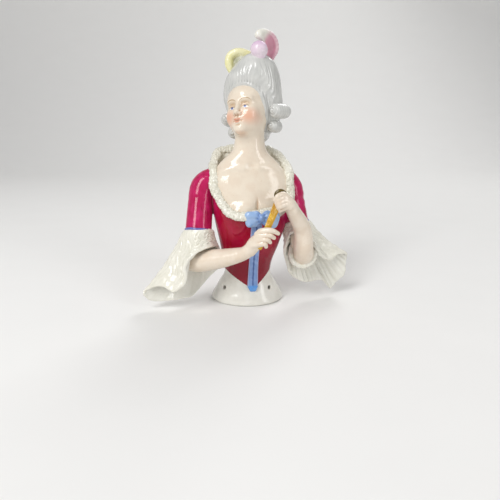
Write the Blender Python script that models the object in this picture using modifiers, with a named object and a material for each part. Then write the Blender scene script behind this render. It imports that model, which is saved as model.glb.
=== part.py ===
"""Half doll: the glazed porcelain upper figure of a lady in court dress, sewn to a pincushion or skirt by
the holes in its flared waist.

The real piece is slip cast, with its arms, sleeve frills, collar, bow, fan and plumes stuck on wet and
fired into one body, so it is one solid here: the forms are laid over each other, fused, and hollowed.
Metres, +Z up, the figure faces -Y. The origin is the middle of the footprint, on the plane of the rim.
"""

from math import cos, pi, radians, sin

import bmesh
import bpy
import numpy as np
from mathutils import Matrix, Vector

# Where the waist base's own axis stands, as seen from the middle of the footprint
BASE_AXIS = Vector((-0.0011, 0.0075, 0.0))

# Flared waist base, hollow and open underneath, with four sewing holes
BASE_HALF_WIDTH = 0.0181
BASE_HALF_DEPTH = 0.0144
BASE_EDGE_ROUND = 0.0007
WALL = 0.0024
SEW_HOLE_RADIUS = 0.0010
SEW_HOLE_HEIGHT = 0.0077
SEW_HOLE_ANGLE = radians(50)

# Body: half widths and half depths at the waist, ribs, bust, chest and shoulders
WAIST_HEIGHT = 0.0160
WAIST_HALF_WIDTH = 0.0112
WAIST_HALF_DEPTH = 0.0088
RIB_HEIGHT = 0.0300
RIB_HALF_WIDTH = 0.0142
RIB_HALF_DEPTH = 0.0100
BUST_HEIGHT = 0.0430
BUST_HALF_WIDTH = 0.0175
BUST_HALF_DEPTH = 0.0114
CHEST_HEIGHT = 0.0540
CHEST_HALF_WIDTH = 0.0186
CHEST_HALF_DEPTH = 0.0096
SHOULDER_HEIGHT = 0.0605
SHOULDER_HALF_WIDTH = 0.0186
SHOULDER_HALF_DEPTH = 0.0082
NECK_HEIGHT = 0.0745
NECK_RADIUS = 0.0064
BODY_TURN = radians(8)
BREAST_RADIUS = 0.0066
BREAST_SPREAD = 0.0064

# Head: its middle, how it turns to its right, lifts its chin and leans, and its skull
HEAD_CENTRE = Vector((0.0009, -0.0025, 0.0894))
HEAD_TURN = radians(-28)
HEAD_LIFT = radians(-14)
HEAD_LEAN = radians(-9)
SKULL_HALF_WIDTH = 0.0093
SKULL_HALF_DEPTH = 0.0108
SKULL_HALF_HEIGHT = 0.0112
HAIR_HEIGHT = 0.0268
HAIR_HALF_WIDTH = 0.0134
HAIR_HALF_DEPTH = 0.0124
CURL_RADIUS = 0.0028

# Arms: the sleeves, the forearms and the frills at the elbows
SLEEVE_RADIUS = 0.0057
CUFF_RADIUS = 0.0061
ELBOW_RADIUS = 0.0049
WRIST_RADIUS = 0.0027
FINGER_RADIUS = 0.0011
FRILL_WALL = 0.0013
FRILL_FLARE = 1.28

# Closed fan, held across the front by both hands
FAN_FOOT = Vector((0.0050, -0.0272, 0.0325))
FAN_HEAD = Vector((0.0137, -0.0218, 0.0560))
FAN_HALF_WIDTH = 0.0018
FAN_HALF_THICKNESS = 0.0009
FAN_PIVOT_RADIUS = 0.0030

# Trims: the ruched neckline, the ribbon down the front and the bow
RUCHE_HALF_WIDTH = 0.0021
RUCHE_HALF_THICKNESS = 0.0013
COLLAR_HALF_THICKNESS = 0.0009
RIBBON_HALF_WIDTH = 0.0024
RIBBON_RAISE = 0.0010
RIBBON_TIP_HEIGHT = 0.0078
BOW_HEIGHT = 0.0445
BOW_LOOP_LENGTH = 0.0042

# Plumes in the hair
PLUME_HALF_WIDTH = 0.0030
PLUME_HALF_THICKNESS = 0.0011
POMPON_RADIUS = 0.0038

# How finely the fused body is made
CLAY_GRAIN = 0.00045
MOST_TRIANGLES = 10800

FRONT = Vector((0, -1, 0))
UP = Vector((0, 0, 1))


def clear_scene():
    for obj in list(bpy.data.objects):
        bpy.data.objects.remove(obj, do_unlink=True)


def new_collection(name):
    made = bpy.data.collections.new(name)
    bpy.context.scene.collection.children.link(made)
    return made


def add_object(name, mesh, where):
    made = bpy.data.objects.new(name, mesh)
    where.objects.link(made)
    return made


def smooth_row(rows, key):
    """The row at this key, on a smooth curve through rows that start with their keys."""
    last = len(rows) - 1
    i = max(j for j in range(last) if j == 0 or rows[j][0] <= key)
    before, a, b, after = (rows[min(max(j, 0), last)] for j in (i - 1, i, i + 1, i + 2))
    step = b[0] - a[0]
    t = min(max((key - a[0]) / step, 0.0), 1.0)
    found = [key]
    for k in range(1, len(a)):
        leave = (b[k] - before[k]) / (b[0] - before[0]) * step
        arrive = (after[k] - a[k]) / (after[0] - a[0]) * step
        found.append(
            (2 * t**3 - 3 * t**2 + 1) * a[k]
            + (t**3 - 2 * t**2 + t) * leave
            + (3 * t**2 - 2 * t**3) * b[k]
            + (t**3 - t**2) * arrive
        )
    return found


def smooth_loop(points, per_span):
    """A closed smooth line through the points."""
    count = len(points)
    line = []
    for i in range(count):
        p0, p1, p2, p3 = (points[(i + k) % count] for k in (-1, 0, 1, 2))
        for s in range(per_span):
            t = s / per_span
            line.append(
                0.5 * (2 * p1 + (p2 - p0) * t + (2 * p0 - 5 * p1 + 4 * p2 - p3) * t**2
                       + (3 * p1 - p0 - 3 * p2 + p3) * t**3)
            )
    return line


def oval(centre, across, along, count=32):
    """A ring of points round the centre, from two half axes."""
    return [centre + across * cos(2 * pi * i / count) + along * sin(2 * pi * i / count) for i in range(count)]


def loft(name, rings, where, capped=True, looped=False):
    """The skin over a row of rings, from end to end, or round and round where looped."""
    mesh = bmesh.new()
    made = [[mesh.verts.new(p) for p in ring] for ring in rings]
    pairs = list(zip(made, made[1:] + made[:1])) if looped else list(zip(made, made[1:]))
    for low, high in pairs:
        for i in range(len(low)):
            j = (i + 1) % len(low)
            mesh.faces.new((low[i], low[j], high[j], high[i]))
    if capped and not looped:
        mesh.faces.new(made[0][::-1])
        mesh.faces.new(made[-1])
    bmesh.ops.recalc_face_normals(mesh, faces=mesh.faces)
    data = bpy.data.meshes.new(name)
    mesh.to_mesh(data)
    mesh.free()
    return add_object(name, data, where)


def ball(name, centre, radii, where, frame=Matrix.Identity(4), turn=0.0):
    """An ellipsoid, leaned by turn about its own Y axis, in a frame."""
    mesh = bmesh.new()
    place = Matrix.Translation(centre) @ Matrix.Rotation(turn, 4, "Y") @ Matrix.Diagonal((*radii, 1.0))
    bmesh.ops.create_uvsphere(mesh, u_segments=24, v_segments=14, radius=1.0, matrix=frame @ place)
    data = bpy.data.meshes.new(name)
    mesh.to_mesh(data)
    mesh.free()
    return add_object(name, data, where)


def limb(name, points, radii, where, frame=Matrix.Identity(4)):
    """A round tapering tube through the points, made as a curve and turned into a mesh."""
    curve = bpy.data.curves.new(name, "CURVE")
    curve.dimensions = "3D"
    curve.bevel_depth = 1.0
    curve.bevel_resolution = 4
    curve.resolution_u = 8
    curve.use_fill_caps = True
    spline = curve.splines.new("BEZIER")
    spline.bezier_points.add(len(points) - 1)
    for knot, point, radius in zip(spline.bezier_points, points, radii):
        knot.co = frame @ Vector(point)
        knot.radius = radius
        knot.handle_left_type = knot.handle_right_type = "AUTO"
    drawn = add_object(name + "_line", curve, where)
    graph = bpy.context.evaluated_depsgraph_get()
    data = bpy.data.meshes.new_from_object(drawn.evaluated_get(graph))
    bpy.data.objects.remove(drawn)
    mesh = bmesh.new()
    mesh.from_mesh(data)
    bmesh.ops.remove_doubles(mesh, verts=mesh.verts, dist=1e-6)
    bmesh.ops.recalc_face_normals(mesh, faces=mesh.faces)
    mesh.to_mesh(data)
    mesh.free()
    ball(name + "_start", frame @ Vector(points[0]), (radii[0],) * 3, where)
    ball(name + "_end", frame @ Vector(points[-1]), (radii[-1],) * 3, where)
    return add_object(name, data, where)


def strip(name, line, widths, normals, half_thickness, where, looped=False):
    """A flat band with round edges along a line; each width is a vector from its middle to its edge."""
    rings = [oval(p, w, n.normalized() * half_thickness, 12) for p, w, n in zip(line, widths, normals)]
    return loft(name, rings, where, looped=looped)


def body_sections():
    """Rows of height, half width, half depth, middle x, middle y and turn, from the rim to inside the head."""
    neck_x, neck_y = HEAD_CENTRE.x, HEAD_CENTRE.y - 0.0013
    chest_x, chest_y = neck_x + 0.0013, neck_y - 0.0010
    mid_width = (BASE_HALF_WIDTH + WAIST_HALF_WIDTH) / 2
    mid_depth = (BASE_HALF_DEPTH + WAIST_HALF_DEPTH) / 2
    slope_height = (SHOULDER_HEIGHT + NECK_HEIGHT) / 2
    slope_width = (SHOULDER_HALF_WIDTH + NECK_RADIUS) / 2
    slope_depth = (SHOULDER_HALF_DEPTH + NECK_RADIUS) / 2
    edge = 2 * BASE_EDGE_ROUND
    return [
        (0.0, BASE_HALF_WIDTH - BASE_EDGE_ROUND, BASE_HALF_DEPTH - BASE_EDGE_ROUND, 0.0, 0.0, 0.0),
        (edge, BASE_HALF_WIDTH, BASE_HALF_DEPTH, 0.0, 0.0, 0.0),
        (WAIST_HEIGHT / 2, mid_width, mid_depth, 0.0, -0.0004, 0.0),
        (WAIST_HEIGHT, WAIST_HALF_WIDTH, WAIST_HALF_DEPTH, 0.0002, -0.0022, BODY_TURN),
        (RIB_HEIGHT, RIB_HALF_WIDTH, RIB_HALF_DEPTH, 0.0013, -0.0042, BODY_TURN),
        (BUST_HEIGHT, BUST_HALF_WIDTH, BUST_HALF_DEPTH, chest_x, chest_y, BODY_TURN),
        (CHEST_HEIGHT, CHEST_HALF_WIDTH, CHEST_HALF_DEPTH, chest_x, chest_y, BODY_TURN),
        (SHOULDER_HEIGHT, SHOULDER_HALF_WIDTH, SHOULDER_HALF_DEPTH, chest_x, chest_y + 0.0004, BODY_TURN),
        (slope_height, slope_width, slope_depth, neck_x, neck_y, BODY_TURN),
        (NECK_HEIGHT, NECK_RADIUS, NECK_RADIUS, neck_x, neck_y, BODY_TURN),
        (HEAD_CENTRE.z, NECK_RADIUS, NECK_RADIUS, neck_x, neck_y + 0.0006, BODY_TURN),
    ]


def body_ring(height, inset=0.0, count=40):
    _, width, depth, x, y, turn = smooth_row(body_sections(), height)
    side = Matrix.Rotation(turn, 3, "Z") @ Vector((1, 0, 0))
    ahead = Matrix.Rotation(turn, 3, "Z") @ FRONT
    return oval(Vector((x, y, height)), side * (width - inset), ahead * (depth - inset), count)


def on_body(height, angle, reach=None, raise_by=0.0):
    """The point at this height and angle from the front, on the body or at a given reach from its middle."""
    _, width, depth, x, y, turn = smooth_row(body_sections(), height)
    side = Matrix.Rotation(turn, 3, "Z") @ Vector((1, 0, 0))
    ahead = Matrix.Rotation(turn, 3, "Z") @ FRONT
    across, along = (width, depth) if reach is None else (reach, reach)
    out = side * sin(angle) * (across + raise_by) + ahead * cos(angle) * (along + raise_by)
    return Vector((x, y, height)) + out


def head_frame():
    """Head axes: X to the side, Y to the back of the head, Z to its crown."""
    turned = Matrix.Rotation(HEAD_TURN, 4, "Z") @ Matrix.Rotation(HEAD_LIFT, 4, "X")
    return Matrix.Translation(HEAD_CENTRE) @ turned @ Matrix.Rotation(HEAD_LEAN, 4, "Y")


def make_body(clay):
    below, top = -0.0020, HEAD_CENTRE.z
    steps = 46
    loft("torso", [body_ring(below + (top - below) * i / steps) for i in range(steps + 1)], clay)
    for side in (-1, 1):
        spread = side * BREAST_SPREAD / BUST_HALF_DEPTH
        middle = on_body(BUST_HEIGHT + 0.0015, spread, raise_by=0.0010 - BREAST_RADIUS)
        ball("breast", middle, (BREAST_RADIUS, BREAST_RADIUS, BREAST_RADIUS * 0.9), clay)
    turned = Matrix.Translation(on_body(CHEST_HEIGHT, 0, reach=0.0)) @ Matrix.Rotation(BODY_TURN, 4, "Z")
    half = CHEST_HALF_WIDTH * 0.92
    ball("shoulder_blades", (0, 0.0036, 0.0006), (half, CHEST_HALF_DEPTH * 0.68, 0.0090), clay, turned)


def make_head(clay):
    head = head_frame()
    brow_y = -SKULL_HALF_DEPTH
    ball("skull", (0, 0.0004, 0.0030), (SKULL_HALF_WIDTH, SKULL_HALF_DEPTH, SKULL_HALF_HEIGHT), clay, head)
    ball("jaw", (0, -0.0042, -0.0044), (0.0070, 0.0066, 0.0066), clay, head)
    ball("chin", (0, brow_y + 0.0018, -0.0089), (0.0027, 0.0023, 0.0022), clay, head)
    ball("muzzle", (0, brow_y + 0.0019, -0.0046), (0.0036, 0.0022, 0.0030), clay, head)
    ball("forehead", (0, -0.0040, 0.0062), (0.0078, 0.0066, 0.0050), clay, head)
    nose_line = [(0, brow_y + 0.0010, 0.0034), (0, brow_y - 0.0003, 0.0008), (0, brow_y - 0.0018, -0.0015)]
    limb("nose", nose_line, (0.0010, 0.0011, 0.0013), clay, head)
    ball("upper_lip", (0, brow_y + 0.0001, -0.0043), (0.0021, 0.0009, 0.0006), clay, head)
    ball("lower_lip", (0, brow_y + 0.0003, -0.0054), (0.0017, 0.0009, 0.0007), clay, head)
    for side in (-1, 1):
        ball("nostril", (side * 0.0011, brow_y - 0.0004, -0.0019), (0.0008, 0.0010, 0.0007), clay, head)
        ball("cheek", (side * 0.0041, -0.0066, -0.0023), (0.0036, 0.0032, 0.0040), clay, head)
        ball("eyelid", (side * 0.0040, -0.0084, 0.0014), (0.0023, 0.0017, 0.0015), clay, head)
        ball("brow", (side * 0.0040, -0.0077, 0.0043), (0.0030, 0.0018, 0.0013), clay, head)
        ball("ear", (side * SKULL_HALF_WIDTH, 0.0006, -0.0012), (0.0009, 0.0016, 0.0026), clay, head)


def hair_sections():
    """Rows of height, half width, half depth, middle x and middle y of the dressed hair, in head axes."""
    w, d, h = HAIR_HALF_WIDTH, HAIR_HALF_DEPTH, HAIR_HEIGHT
    return [
        (-0.0075, w * 0.40, d * 0.36, 0.0000, 0.0094),
        (-0.0050, w * 0.66, d * 0.52, 0.0000, 0.0086),
        (0.0000, w * 0.90, d * 0.72, 0.0000, 0.0074),
        (0.0050, w * 1.00, d * 0.86, 0.0002, 0.0060),
        (0.0100, w, d, 0.0005, 0.0034),
        (h * 0.58, w * 0.95, d * 0.96, 0.0012, 0.0026),
        (h * 0.76, w * 0.81, d * 0.82, 0.0022, 0.0018),
        (h * 0.90, w * 0.57, d * 0.60, 0.0032, 0.0010),
        (h, w * 0.20, d * 0.20, 0.0038, 0.0004),
    ]


# Rolled side curls, from their front ends to their back ends, in head axes
CURLS = [
    ((0.0122, 0.0030, 0.0004), (0.0138, 0.0094, 0.0014)), ((0.0088, 0.0062, -0.0050), (0.0093, 0.0108, -0.0044)),
    ((-0.0124, 0.0012, 0.0002), (-0.0138, 0.0080, 0.0010)), ((-0.0104, 0.0036, -0.0056), (-0.0112, 0.0090, -0.0050)),
]


def make_hair(clay):
    head = head_frame()
    rows = hair_sections()
    low, high = rows[0][0], rows[-1][0]
    rings = []
    for i in range(31):
        height, width, depth, x, y = smooth_row(rows, low + (high - low) * i / 30)
        ring = oval(Vector((x, y, height)), Vector((width, 0, 0)), Vector((0, depth, 0)))
        rings.append([head @ p for p in ring])
    loft("hair", rings, clay)
    ball("nape", (0.0020, 0.0080, -0.0085), (0.0058, 0.0040, 0.0048), clay, head)
    for start, end in CURLS:
        middle = (Vector(start) + Vector(end)) / 2
        sizes = (CURL_RADIUS * 0.94, CURL_RADIUS, CURL_RADIUS * 0.92)
        limb("curl", (start, middle, end), sizes, clay, head)


def make_plumes(clay):
    head = head_frame()
    crown = HAIR_HEIGHT
    pink = [(0.0079, 0.0050, crown - 0.0030), (0.0089, 0.0048, crown), (0.0103, 0.0039, crown + 0.0025),
            (0.0108, 0.0008, crown + 0.0044), (0.0102, -0.0031, crown + 0.0053), (0.0089, -0.0064, crown + 0.0048)]
    line = [head @ Vector(p) for p in pink]
    sizes = (0.6, 0.85, 1.05, 1.05, 0.8, 0.45)
    widths, normals = [], []
    for i, size in enumerate(sizes):
        run = line[min(i + 1, len(line) - 1)] - line[max(i - 1, 0)]
        widths.append(run.cross(FRONT).normalized() * size * PLUME_HALF_WIDTH)
        normals.append(run.cross(widths[-1]))
    strip("pink_plume", line, widths, normals, PLUME_HALF_THICKNESS, clay)
    ball("pink_tip", line[-1], (0.0018, 0.0015, 0.0015), clay)
    ball("pompon", (0.0083, -0.0048, crown - 0.0014), (POMPON_RADIUS,) * 3, clay, head)
    bend = [(-0.0064, -0.0034, crown - 0.0072), (-0.0070, -0.0046, crown - 0.0040), (-0.0060, -0.0050, crown - 0.0010),
            (-0.0033, -0.0044, crown + 0.0004), (-0.0006, -0.0032, crown + 0.0004), (0.0020, -0.0018, crown - 0.0004)]
    limb("yellow_plume", bend, (0.0014, 0.0020, 0.0021, 0.0020, 0.0017, 0.0013), clay, head)
    ball("yellow_hollow", (-0.0030, -0.0012, crown - 0.0030), (0.0044, 0.0018, 0.0040), clay, head)


def sleeve_points(side):
    """Shoulder, upper arm and cuff middles. Side -1 is the arm that the figure holds lower."""
    tip = on_body(SHOULDER_HEIGHT, side * pi / 2)
    if side < 0:
        drops = [(0.0077, 0.0028, -0.0020), (0.0014, 0.0032, -0.0005), (-0.0044, 0.0014, -0.0047),
                 (-0.0047, -0.0010, -0.0105), (-0.0062, -0.0050, -0.0222)]
    else:
        drops = [(-0.0111, 0.0008, -0.0025), (-0.0030, 0.0018, -0.0015), (0.0003, 0.0012, -0.0059),
                 (0.0006, 0.0008, -0.0105), (0.0030, -0.0002, -0.0205)]
    return [tip + Vector(drop) for drop in drops]


def make_sleeves(clay):
    for side in (-1, 1):
        sizes = (SLEEVE_RADIUS * 0.88, SLEEVE_RADIUS, SLEEVE_RADIUS * 1.03, SLEEVE_RADIUS, CUFF_RADIUS)
        limb("sleeve", sleeve_points(side), sizes, clay)


# The frills' hems, as steps from the middle of the cuff, in order from the outer or right side to the front
LOW_HEM = [
    (0.0090, 0.0000, -0.0080), (0.0056, -0.0052, -0.0068), (0.0006, -0.0097, -0.0078), (-0.0034, -0.0117, -0.0113),
    (-0.0054, -0.0122, -0.0163), (-0.0068, -0.0122, -0.0228), (-0.0108, -0.0112, -0.0263), (-0.0163, -0.0087, -0.0243),
    (-0.0258, -0.0057, -0.0278), (-0.0243, -0.0047, -0.0323), (-0.0183, -0.0042, -0.0336), (-0.0110, -0.0030, -0.0330),
    (-0.0045, -0.0007, -0.0324), (-0.0004, 0.0010, -0.0286), (0.0040, 0.0026, -0.0238), (0.0096, 0.0034, -0.0178),
]
HIGH_HEM = [
    (0.0269, 0.0060, -0.0195), (0.0214, 0.0020, -0.0175), (0.0164, -0.0015, -0.0185), (0.0109, -0.0060, -0.0135),
    (0.0069, -0.0070, -0.0065), (0.0019, -0.0075, -0.0035), (-0.0021, -0.0065, -0.0035), (-0.0041, -0.0050, -0.0065),
    (-0.0046, -0.0040, -0.0125), (-0.0036, -0.0040, -0.0190), (-0.0016, -0.0035, -0.0260), (0.0029, -0.0020, -0.0295),
    (0.0079, 0.0010, -0.0305), (0.0149, 0.0030, -0.0315), (0.0189, 0.0035, -0.0350), (0.0249, 0.0045, -0.0295),
]


def make_frills(clay):
    """Open shells from the cuffs to their wavy hems."""
    for side, hem in ((-1, LOW_HEM), (1, HIGH_HEM)):
        cuff = sleeve_points(side)[-1]
        edge = smooth_loop([cuff + Vector(step) for step in hem], 3)
        top = oval(cuff, Vector((CUFF_RADIUS, 0, 0)), Vector((0, -CUFF_RADIUS, 0)), len(edge))
        rings = []
        rows = 10
        for j in range(rows + 1):
            t = j / rows
            out, down = t**FRILL_FLARE, t
            ring = []
            for a, b in zip(top, edge):
                ring.append(Vector((a.x + (b.x - a.x) * out, a.y + (b.y - a.y) * out, a.z + (b.z - a.z) * down)))
            rings.append(ring)
        frill = loft("frill", rings, clay, capped=False)
        wall = frill.modifiers.new("wall", "SOLIDIFY")
        wall.thickness = FRILL_WALL
        wall.offset = 0.0


def make_arms(clay):
    low_cuff, high_cuff = sleeve_points(-1)[-1], sleeve_points(1)[-1]
    low_wrist = FAN_FOOT + Vector((-0.0045, 0.0030, -0.0013))
    low_elbow = low_cuff + Vector((-0.0040, -0.0016, -0.0123))
    low_line = [low_cuff, low_elbow, low_elbow + Vector((0.0037, -0.0021, -0.0019)),
                low_elbow.lerp(low_wrist, 0.57) + Vector((0, 0, -0.0022)),
                low_elbow.lerp(low_wrist, 0.89) + Vector((0, 0, -0.0010)), low_wrist]
    low_sizes = (0.0044, ELBOW_RADIUS, ELBOW_RADIUS * 1.06, 0.0045, 0.0033, WRIST_RADIUS)
    limb("low_forearm", low_line, low_sizes, clay)
    high_wrist = FAN_HEAD + Vector((0.0049, 0.0022, -0.0040))
    high_elbow = high_cuff + Vector((0.0034, -0.0042, -0.0152))
    high_line = [high_cuff, high_elbow, high_elbow + Vector((-0.0002, -0.0045, 0.0040)),
                 high_elbow.lerp(high_wrist, 0.45) + Vector((0.0026, -0.0003, 0.0012)),
                 high_elbow.lerp(high_wrist, 0.82) + Vector((0.0010, -0.0006, 0.0006)), high_wrist]
    high_sizes = (0.0044, ELBOW_RADIUS, ELBOW_RADIUS * 0.97, 0.0043, 0.0034, WRIST_RADIUS)
    limb("high_forearm", high_line, high_sizes, clay)


def make_hands(clay):
    """Fingers over the fan, a palm behind them, and a thumb behind the fan."""
    low = Matrix.Translation(FAN_FOOT)
    r = FINGER_RADIUS
    limb("low_palm", [(-0.0040, 0.0028, -0.0008), (-0.0014, 0.0010, 0.0034), (0.0014, -0.0006, 0.0070)],
         (WRIST_RADIUS, 0.0031, 0.0024), clay, low)
    for k in range(4):
        base = Vector((0.0018 - 0.0006 * k, -0.0008, 0.0092 - 0.0019 * k))
        bend = base + Vector((0.0038 - 0.0004 * k, -0.0010, 0.0004))
        tip = bend + Vector((0.0028 - 0.0006 * k, 0.0010, -0.0014))
        limb("low_finger", (base, bend, tip), (r * 1.15, r, r * 0.85), clay, low)
    limb("low_thumb", [(-0.0010, 0.0012, 0.0050), (0.0016, 0.0024, 0.0080), (0.0036, 0.0026, 0.0086)],
         (r * 1.3, r * 1.1, r * 0.9), clay, low)
    high = Matrix.Translation(FAN_HEAD)
    limb("high_palm", [(0.0049, 0.0022, -0.0040), (0.0036, 0.0012, -0.0012), (0.0022, 0.0002, 0.0010)],
         (WRIST_RADIUS, 0.0031, 0.0026), clay, high)
    for k in range(4):
        base = Vector((0.0020 + 0.0006 * k, -0.0010, 0.0018 - 0.0015 * k))
        bend = base + Vector((-0.0024, -0.0020, -0.0004))
        tip = bend + Vector((-0.0012, -0.0004, -0.0026 + 0.0004 * k))
        limb("high_finger", (base, bend, tip), (r * 1.1, r, r * 0.85), clay, high)
    limb("high_thumb", [(0.0044, 0.0006, -0.0040), (0.0026, -0.0010, -0.0058), (0.0012, -0.0014, -0.0074)],
         (r * 1.2, r * 1.1, r * 0.9), clay, high)


def make_fan(clay):
    run = FAN_HEAD - FAN_FOOT
    wide = run.cross(FRONT).normalized() * -FAN_HALF_WIDTH
    line = [FAN_FOOT + run * (i / 6) for i in range(7)]
    widths = [wide * (0.80 + 0.20 * i / 6) for i in range(7)]
    strip("fan", line, widths, [run.cross(wide)] * 7, FAN_HALF_THICKNESS, clay)
    pivot = FAN_HEAD + Vector((0.0002, 0.0010, 0.0006))
    ball("fan_pivot", pivot, (FAN_PIVOT_RADIUS, FAN_HALF_THICKNESS, FAN_PIVOT_RADIUS), clay)


# The ruched neckline, as steps from the middle of the chest, from the front round by the high hand
RUCHE_STEPS = [
    (-0.0052, -0.0117, -0.0085), (0.0048, -0.0132, -0.0070), (0.0128, -0.0102, -0.0050), (0.0183, -0.0032, -0.0010),
    (0.0166, -0.0007, 0.0055), (0.0166, 0.0048, 0.0110), (0.0133, 0.0088, 0.0165), (0.0068, 0.0108, 0.0195),
    (-0.0007, 0.0118, 0.0200), (-0.0082, 0.0108, 0.0200), (-0.0137, 0.0098, 0.0190), (-0.0162, 0.0078, 0.0180),
    (-0.0180, -0.0002, 0.0105), (-0.0164, -0.0050, 0.0040), (-0.0142, -0.0080, -0.0015), (-0.0107, -0.0092, -0.0060),
]


def ruche_line():
    middle = on_body(CHEST_HEIGHT, 0, reach=0.0)
    return smooth_loop([middle + Vector(step) for step in RUCHE_STEPS], 4)


def make_ruche(clay):
    """The crumbly lace band: flat round the low neck in front, standing behind the neck."""
    line = ruche_line()
    facing = Vector((0, -0.85, 0.5)).normalized()
    widths, normals = [], []
    for i, point in enumerate(line):
        run = line[(i + 1) % len(line)] - line[i - 1]
        widths.append(run.cross(facing).normalized() * RUCHE_HALF_WIDTH)
        normals.append(facing)
    strip("ruche", line, widths, normals, RUCHE_HALF_THICKNESS, clay, looped=True)
    # The stiff collar below the band, from its foot on the shoulders and back up to the band
    middle = on_body(CHEST_HEIGHT, 0, reach=0.0)
    centres, halves, normals = [], [], []
    for i, point in enumerate(line):
        run = line[(i + 1) % len(line)] - line[i - 1]
        inward = Vector((middle.x - point.x, middle.y - point.y, 0)).normalized()
        behind = min(max((point.z - BUST_HEIGHT) / (NECK_HEIGHT - BUST_HEIGHT), 0.0), 1.0)
        foot = point + inward * (0.0016 + 0.0024 * behind) - UP * (0.0030 + 0.0100 * behind)
        centres.append((point + foot) / 2)
        halves.append((point - foot) / 2)
        normals.append(run.cross(point - foot))
    strip("collar", centres, halves, normals, COLLAR_HALF_THICKNESS, clay, looped=True)


def make_ribbon(clay):
    top, steps = BOW_HEIGHT, 14
    line, widths, normals = [], [], []
    for i in range(steps + 1):
        height = top + (RIBBON_TIP_HEIGHT - top) * i / steps
        point = on_body(height, radians(2), raise_by=0.0)
        taper = 1.0 if i < steps - 1 else 0.55
        line.append(point)
        widths.append(Matrix.Rotation(BODY_TURN, 3, "Z") @ Vector((RIBBON_HALF_WIDTH * taper, 0, 0)))
        normals.append(FRONT)
    strip("ribbon", line, widths, normals, RIBBON_RAISE, clay)
    bow = Matrix.Translation(on_body(BOW_HEIGHT, radians(12), raise_by=0.0012))
    ball("knot", (0, -0.0006, 0), (0.0015, 0.0014, 0.0016), clay, bow)
    for side in (-1, 1):
        centre = Vector((side * BOW_LOOP_LENGTH * 0.92, 0.0006, -0.0006))
        loop = (BOW_LOOP_LENGTH, 0.0018, 0.0030)
        ball("bow_loop", centre, loop, clay, bow, turn=side * radians(24))


def fuse(clay, name):
    """One object of all the forms, with one closed skin over them."""
    graph = bpy.context.evaluated_depsgraph_get()
    mesh = bmesh.new()
    for form in list(clay.objects):
        data = bpy.data.meshes.new_from_object(form.evaluated_get(graph))
        data.transform(form.matrix_world)
        mesh.from_mesh(data)
        bpy.data.objects.remove(form)
    data = bpy.data.meshes.new(name)
    mesh.to_mesh(data)
    mesh.free()
    rough = add_object(name + "_rough", data, clay)
    skin = rough.modifiers.new("skin", "REMESH")
    skin.mode = "VOXEL"
    skin.voxel_size = CLAY_GRAIN
    skin.use_smooth_shade = True
    soften = rough.modifiers.new("soften", "SMOOTH")
    soften.factor = 0.5
    soften.iterations = 3
    graph = bpy.context.evaluated_depsgraph_get()
    fused = bpy.data.meshes.new_from_object(rough.evaluated_get(graph))
    bpy.data.objects.remove(rough)
    return fused


def press(mesh, frame, strokes):
    """Pushes the skin in or out round a few points, as a thumb does: point, radius, and push in frame axes."""
    points = np.empty(len(mesh.vertices) * 3, np.float32)
    mesh.vertices.foreach_get("co", points)
    points = points.reshape(-1, 3).astype(float)
    for place, radius, push in strokes:
        gap = points - np.array(frame @ Vector(place))
        near = np.exp(-(gap**2).sum(axis=1) / radius**2)
        points += near[:, None] * np.array(frame.to_3x3() @ Vector(push))
    mesh.vertices.foreach_set("co", points.astype(np.float32).ravel())
    mesh.update()


def face_strokes():
    strokes = []
    for side in (-1, 1):
        strokes += [
            ((side * 0.0024, -0.0095, 0.0024), 0.0014, (0, 0.0008, 0)),
            ((side * 0.0056, -0.0085, 0.0022), 0.0016, (0, 0.0005, 0)),
            ((side * 0.0042, -0.0092, 0.0044), 0.0017, (0, -0.0003, 0)),
            ((side * 0.0032, -0.0100, -0.0048), 0.0012, (0, 0.0004, 0)),
        ]
    strokes.append(((0, -0.0110, -0.0068), 0.0012, (0, 0.0005, 0)))
    return strokes


def hollow_rings():
    """The cast hollow: it follows the body a wall's thickness inside, and ends inside the head."""
    rings = []
    below, steps = -0.0040, 19
    for i in range(steps + 1):
        height = below + (NECK_HEIGHT - below) * i / steps
        rings.append(body_ring(height, inset=WALL if height < CHEST_HEIGHT else WALL * 1.2, count=24))
    head = head_frame()
    for height, radius in ((-0.0065, 0.0040), (-0.0020, 0.0058), (0.0040, 0.0068), (0.0100, 0.0068),
                           (0.0150, 0.0056), (0.0175, 0.0030)):
        centre = head @ Vector((0.0004, 0.0010, height))
        rings.append(oval(centre, Vector((radius, 0, 0)), Vector((0, -radius, 0)), 24))
    return rings


def make_cutters(tools):
    loft("hollow", hollow_rings(), tools)
    for k in range(4):
        angle = SEW_HOLE_ANGLE + (pi - 2 * SEW_HOLE_ANGLE) * (k % 2)
        side = 1 if k < 2 else -1
        place = on_body(SEW_HOLE_HEIGHT, side * angle)
        out = place - on_body(SEW_HOLE_HEIGHT, 0, reach=0.0)
        axis = Vector((out.x / BASE_HALF_WIDTH**2, out.y / BASE_HALF_DEPTH**2, 0)).normalized()
        mesh = bmesh.new()
        lie = Matrix.Translation(place) @ axis.to_track_quat("Z", "Y").to_matrix().to_4x4()
        bmesh.ops.create_cone(mesh, cap_ends=True, segments=20, radius1=SEW_HOLE_RADIUS, radius2=SEW_HOLE_RADIUS,
                              depth=4 * WALL, matrix=lie)
        data = bpy.data.meshes.new("sewing_hole")
        mesh.to_mesh(data)
        mesh.free()
        add_object("sewing_hole", data, tools)
    mesh = bmesh.new()
    deep = 0.010
    bmesh.ops.create_cube(mesh, size=1.0, matrix=Matrix.Translation((0, 0, -deep / 2)) @ Matrix.Diagonal((0.2, 0.2, deep, 1)))
    data = bpy.data.meshes.new("ground")
    mesh.to_mesh(data)
    mesh.free()
    add_object("ground", data, tools)
    for tool in tools.objects:
        tool.hide_render = True
        tool.display_type = "WIRE"


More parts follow.
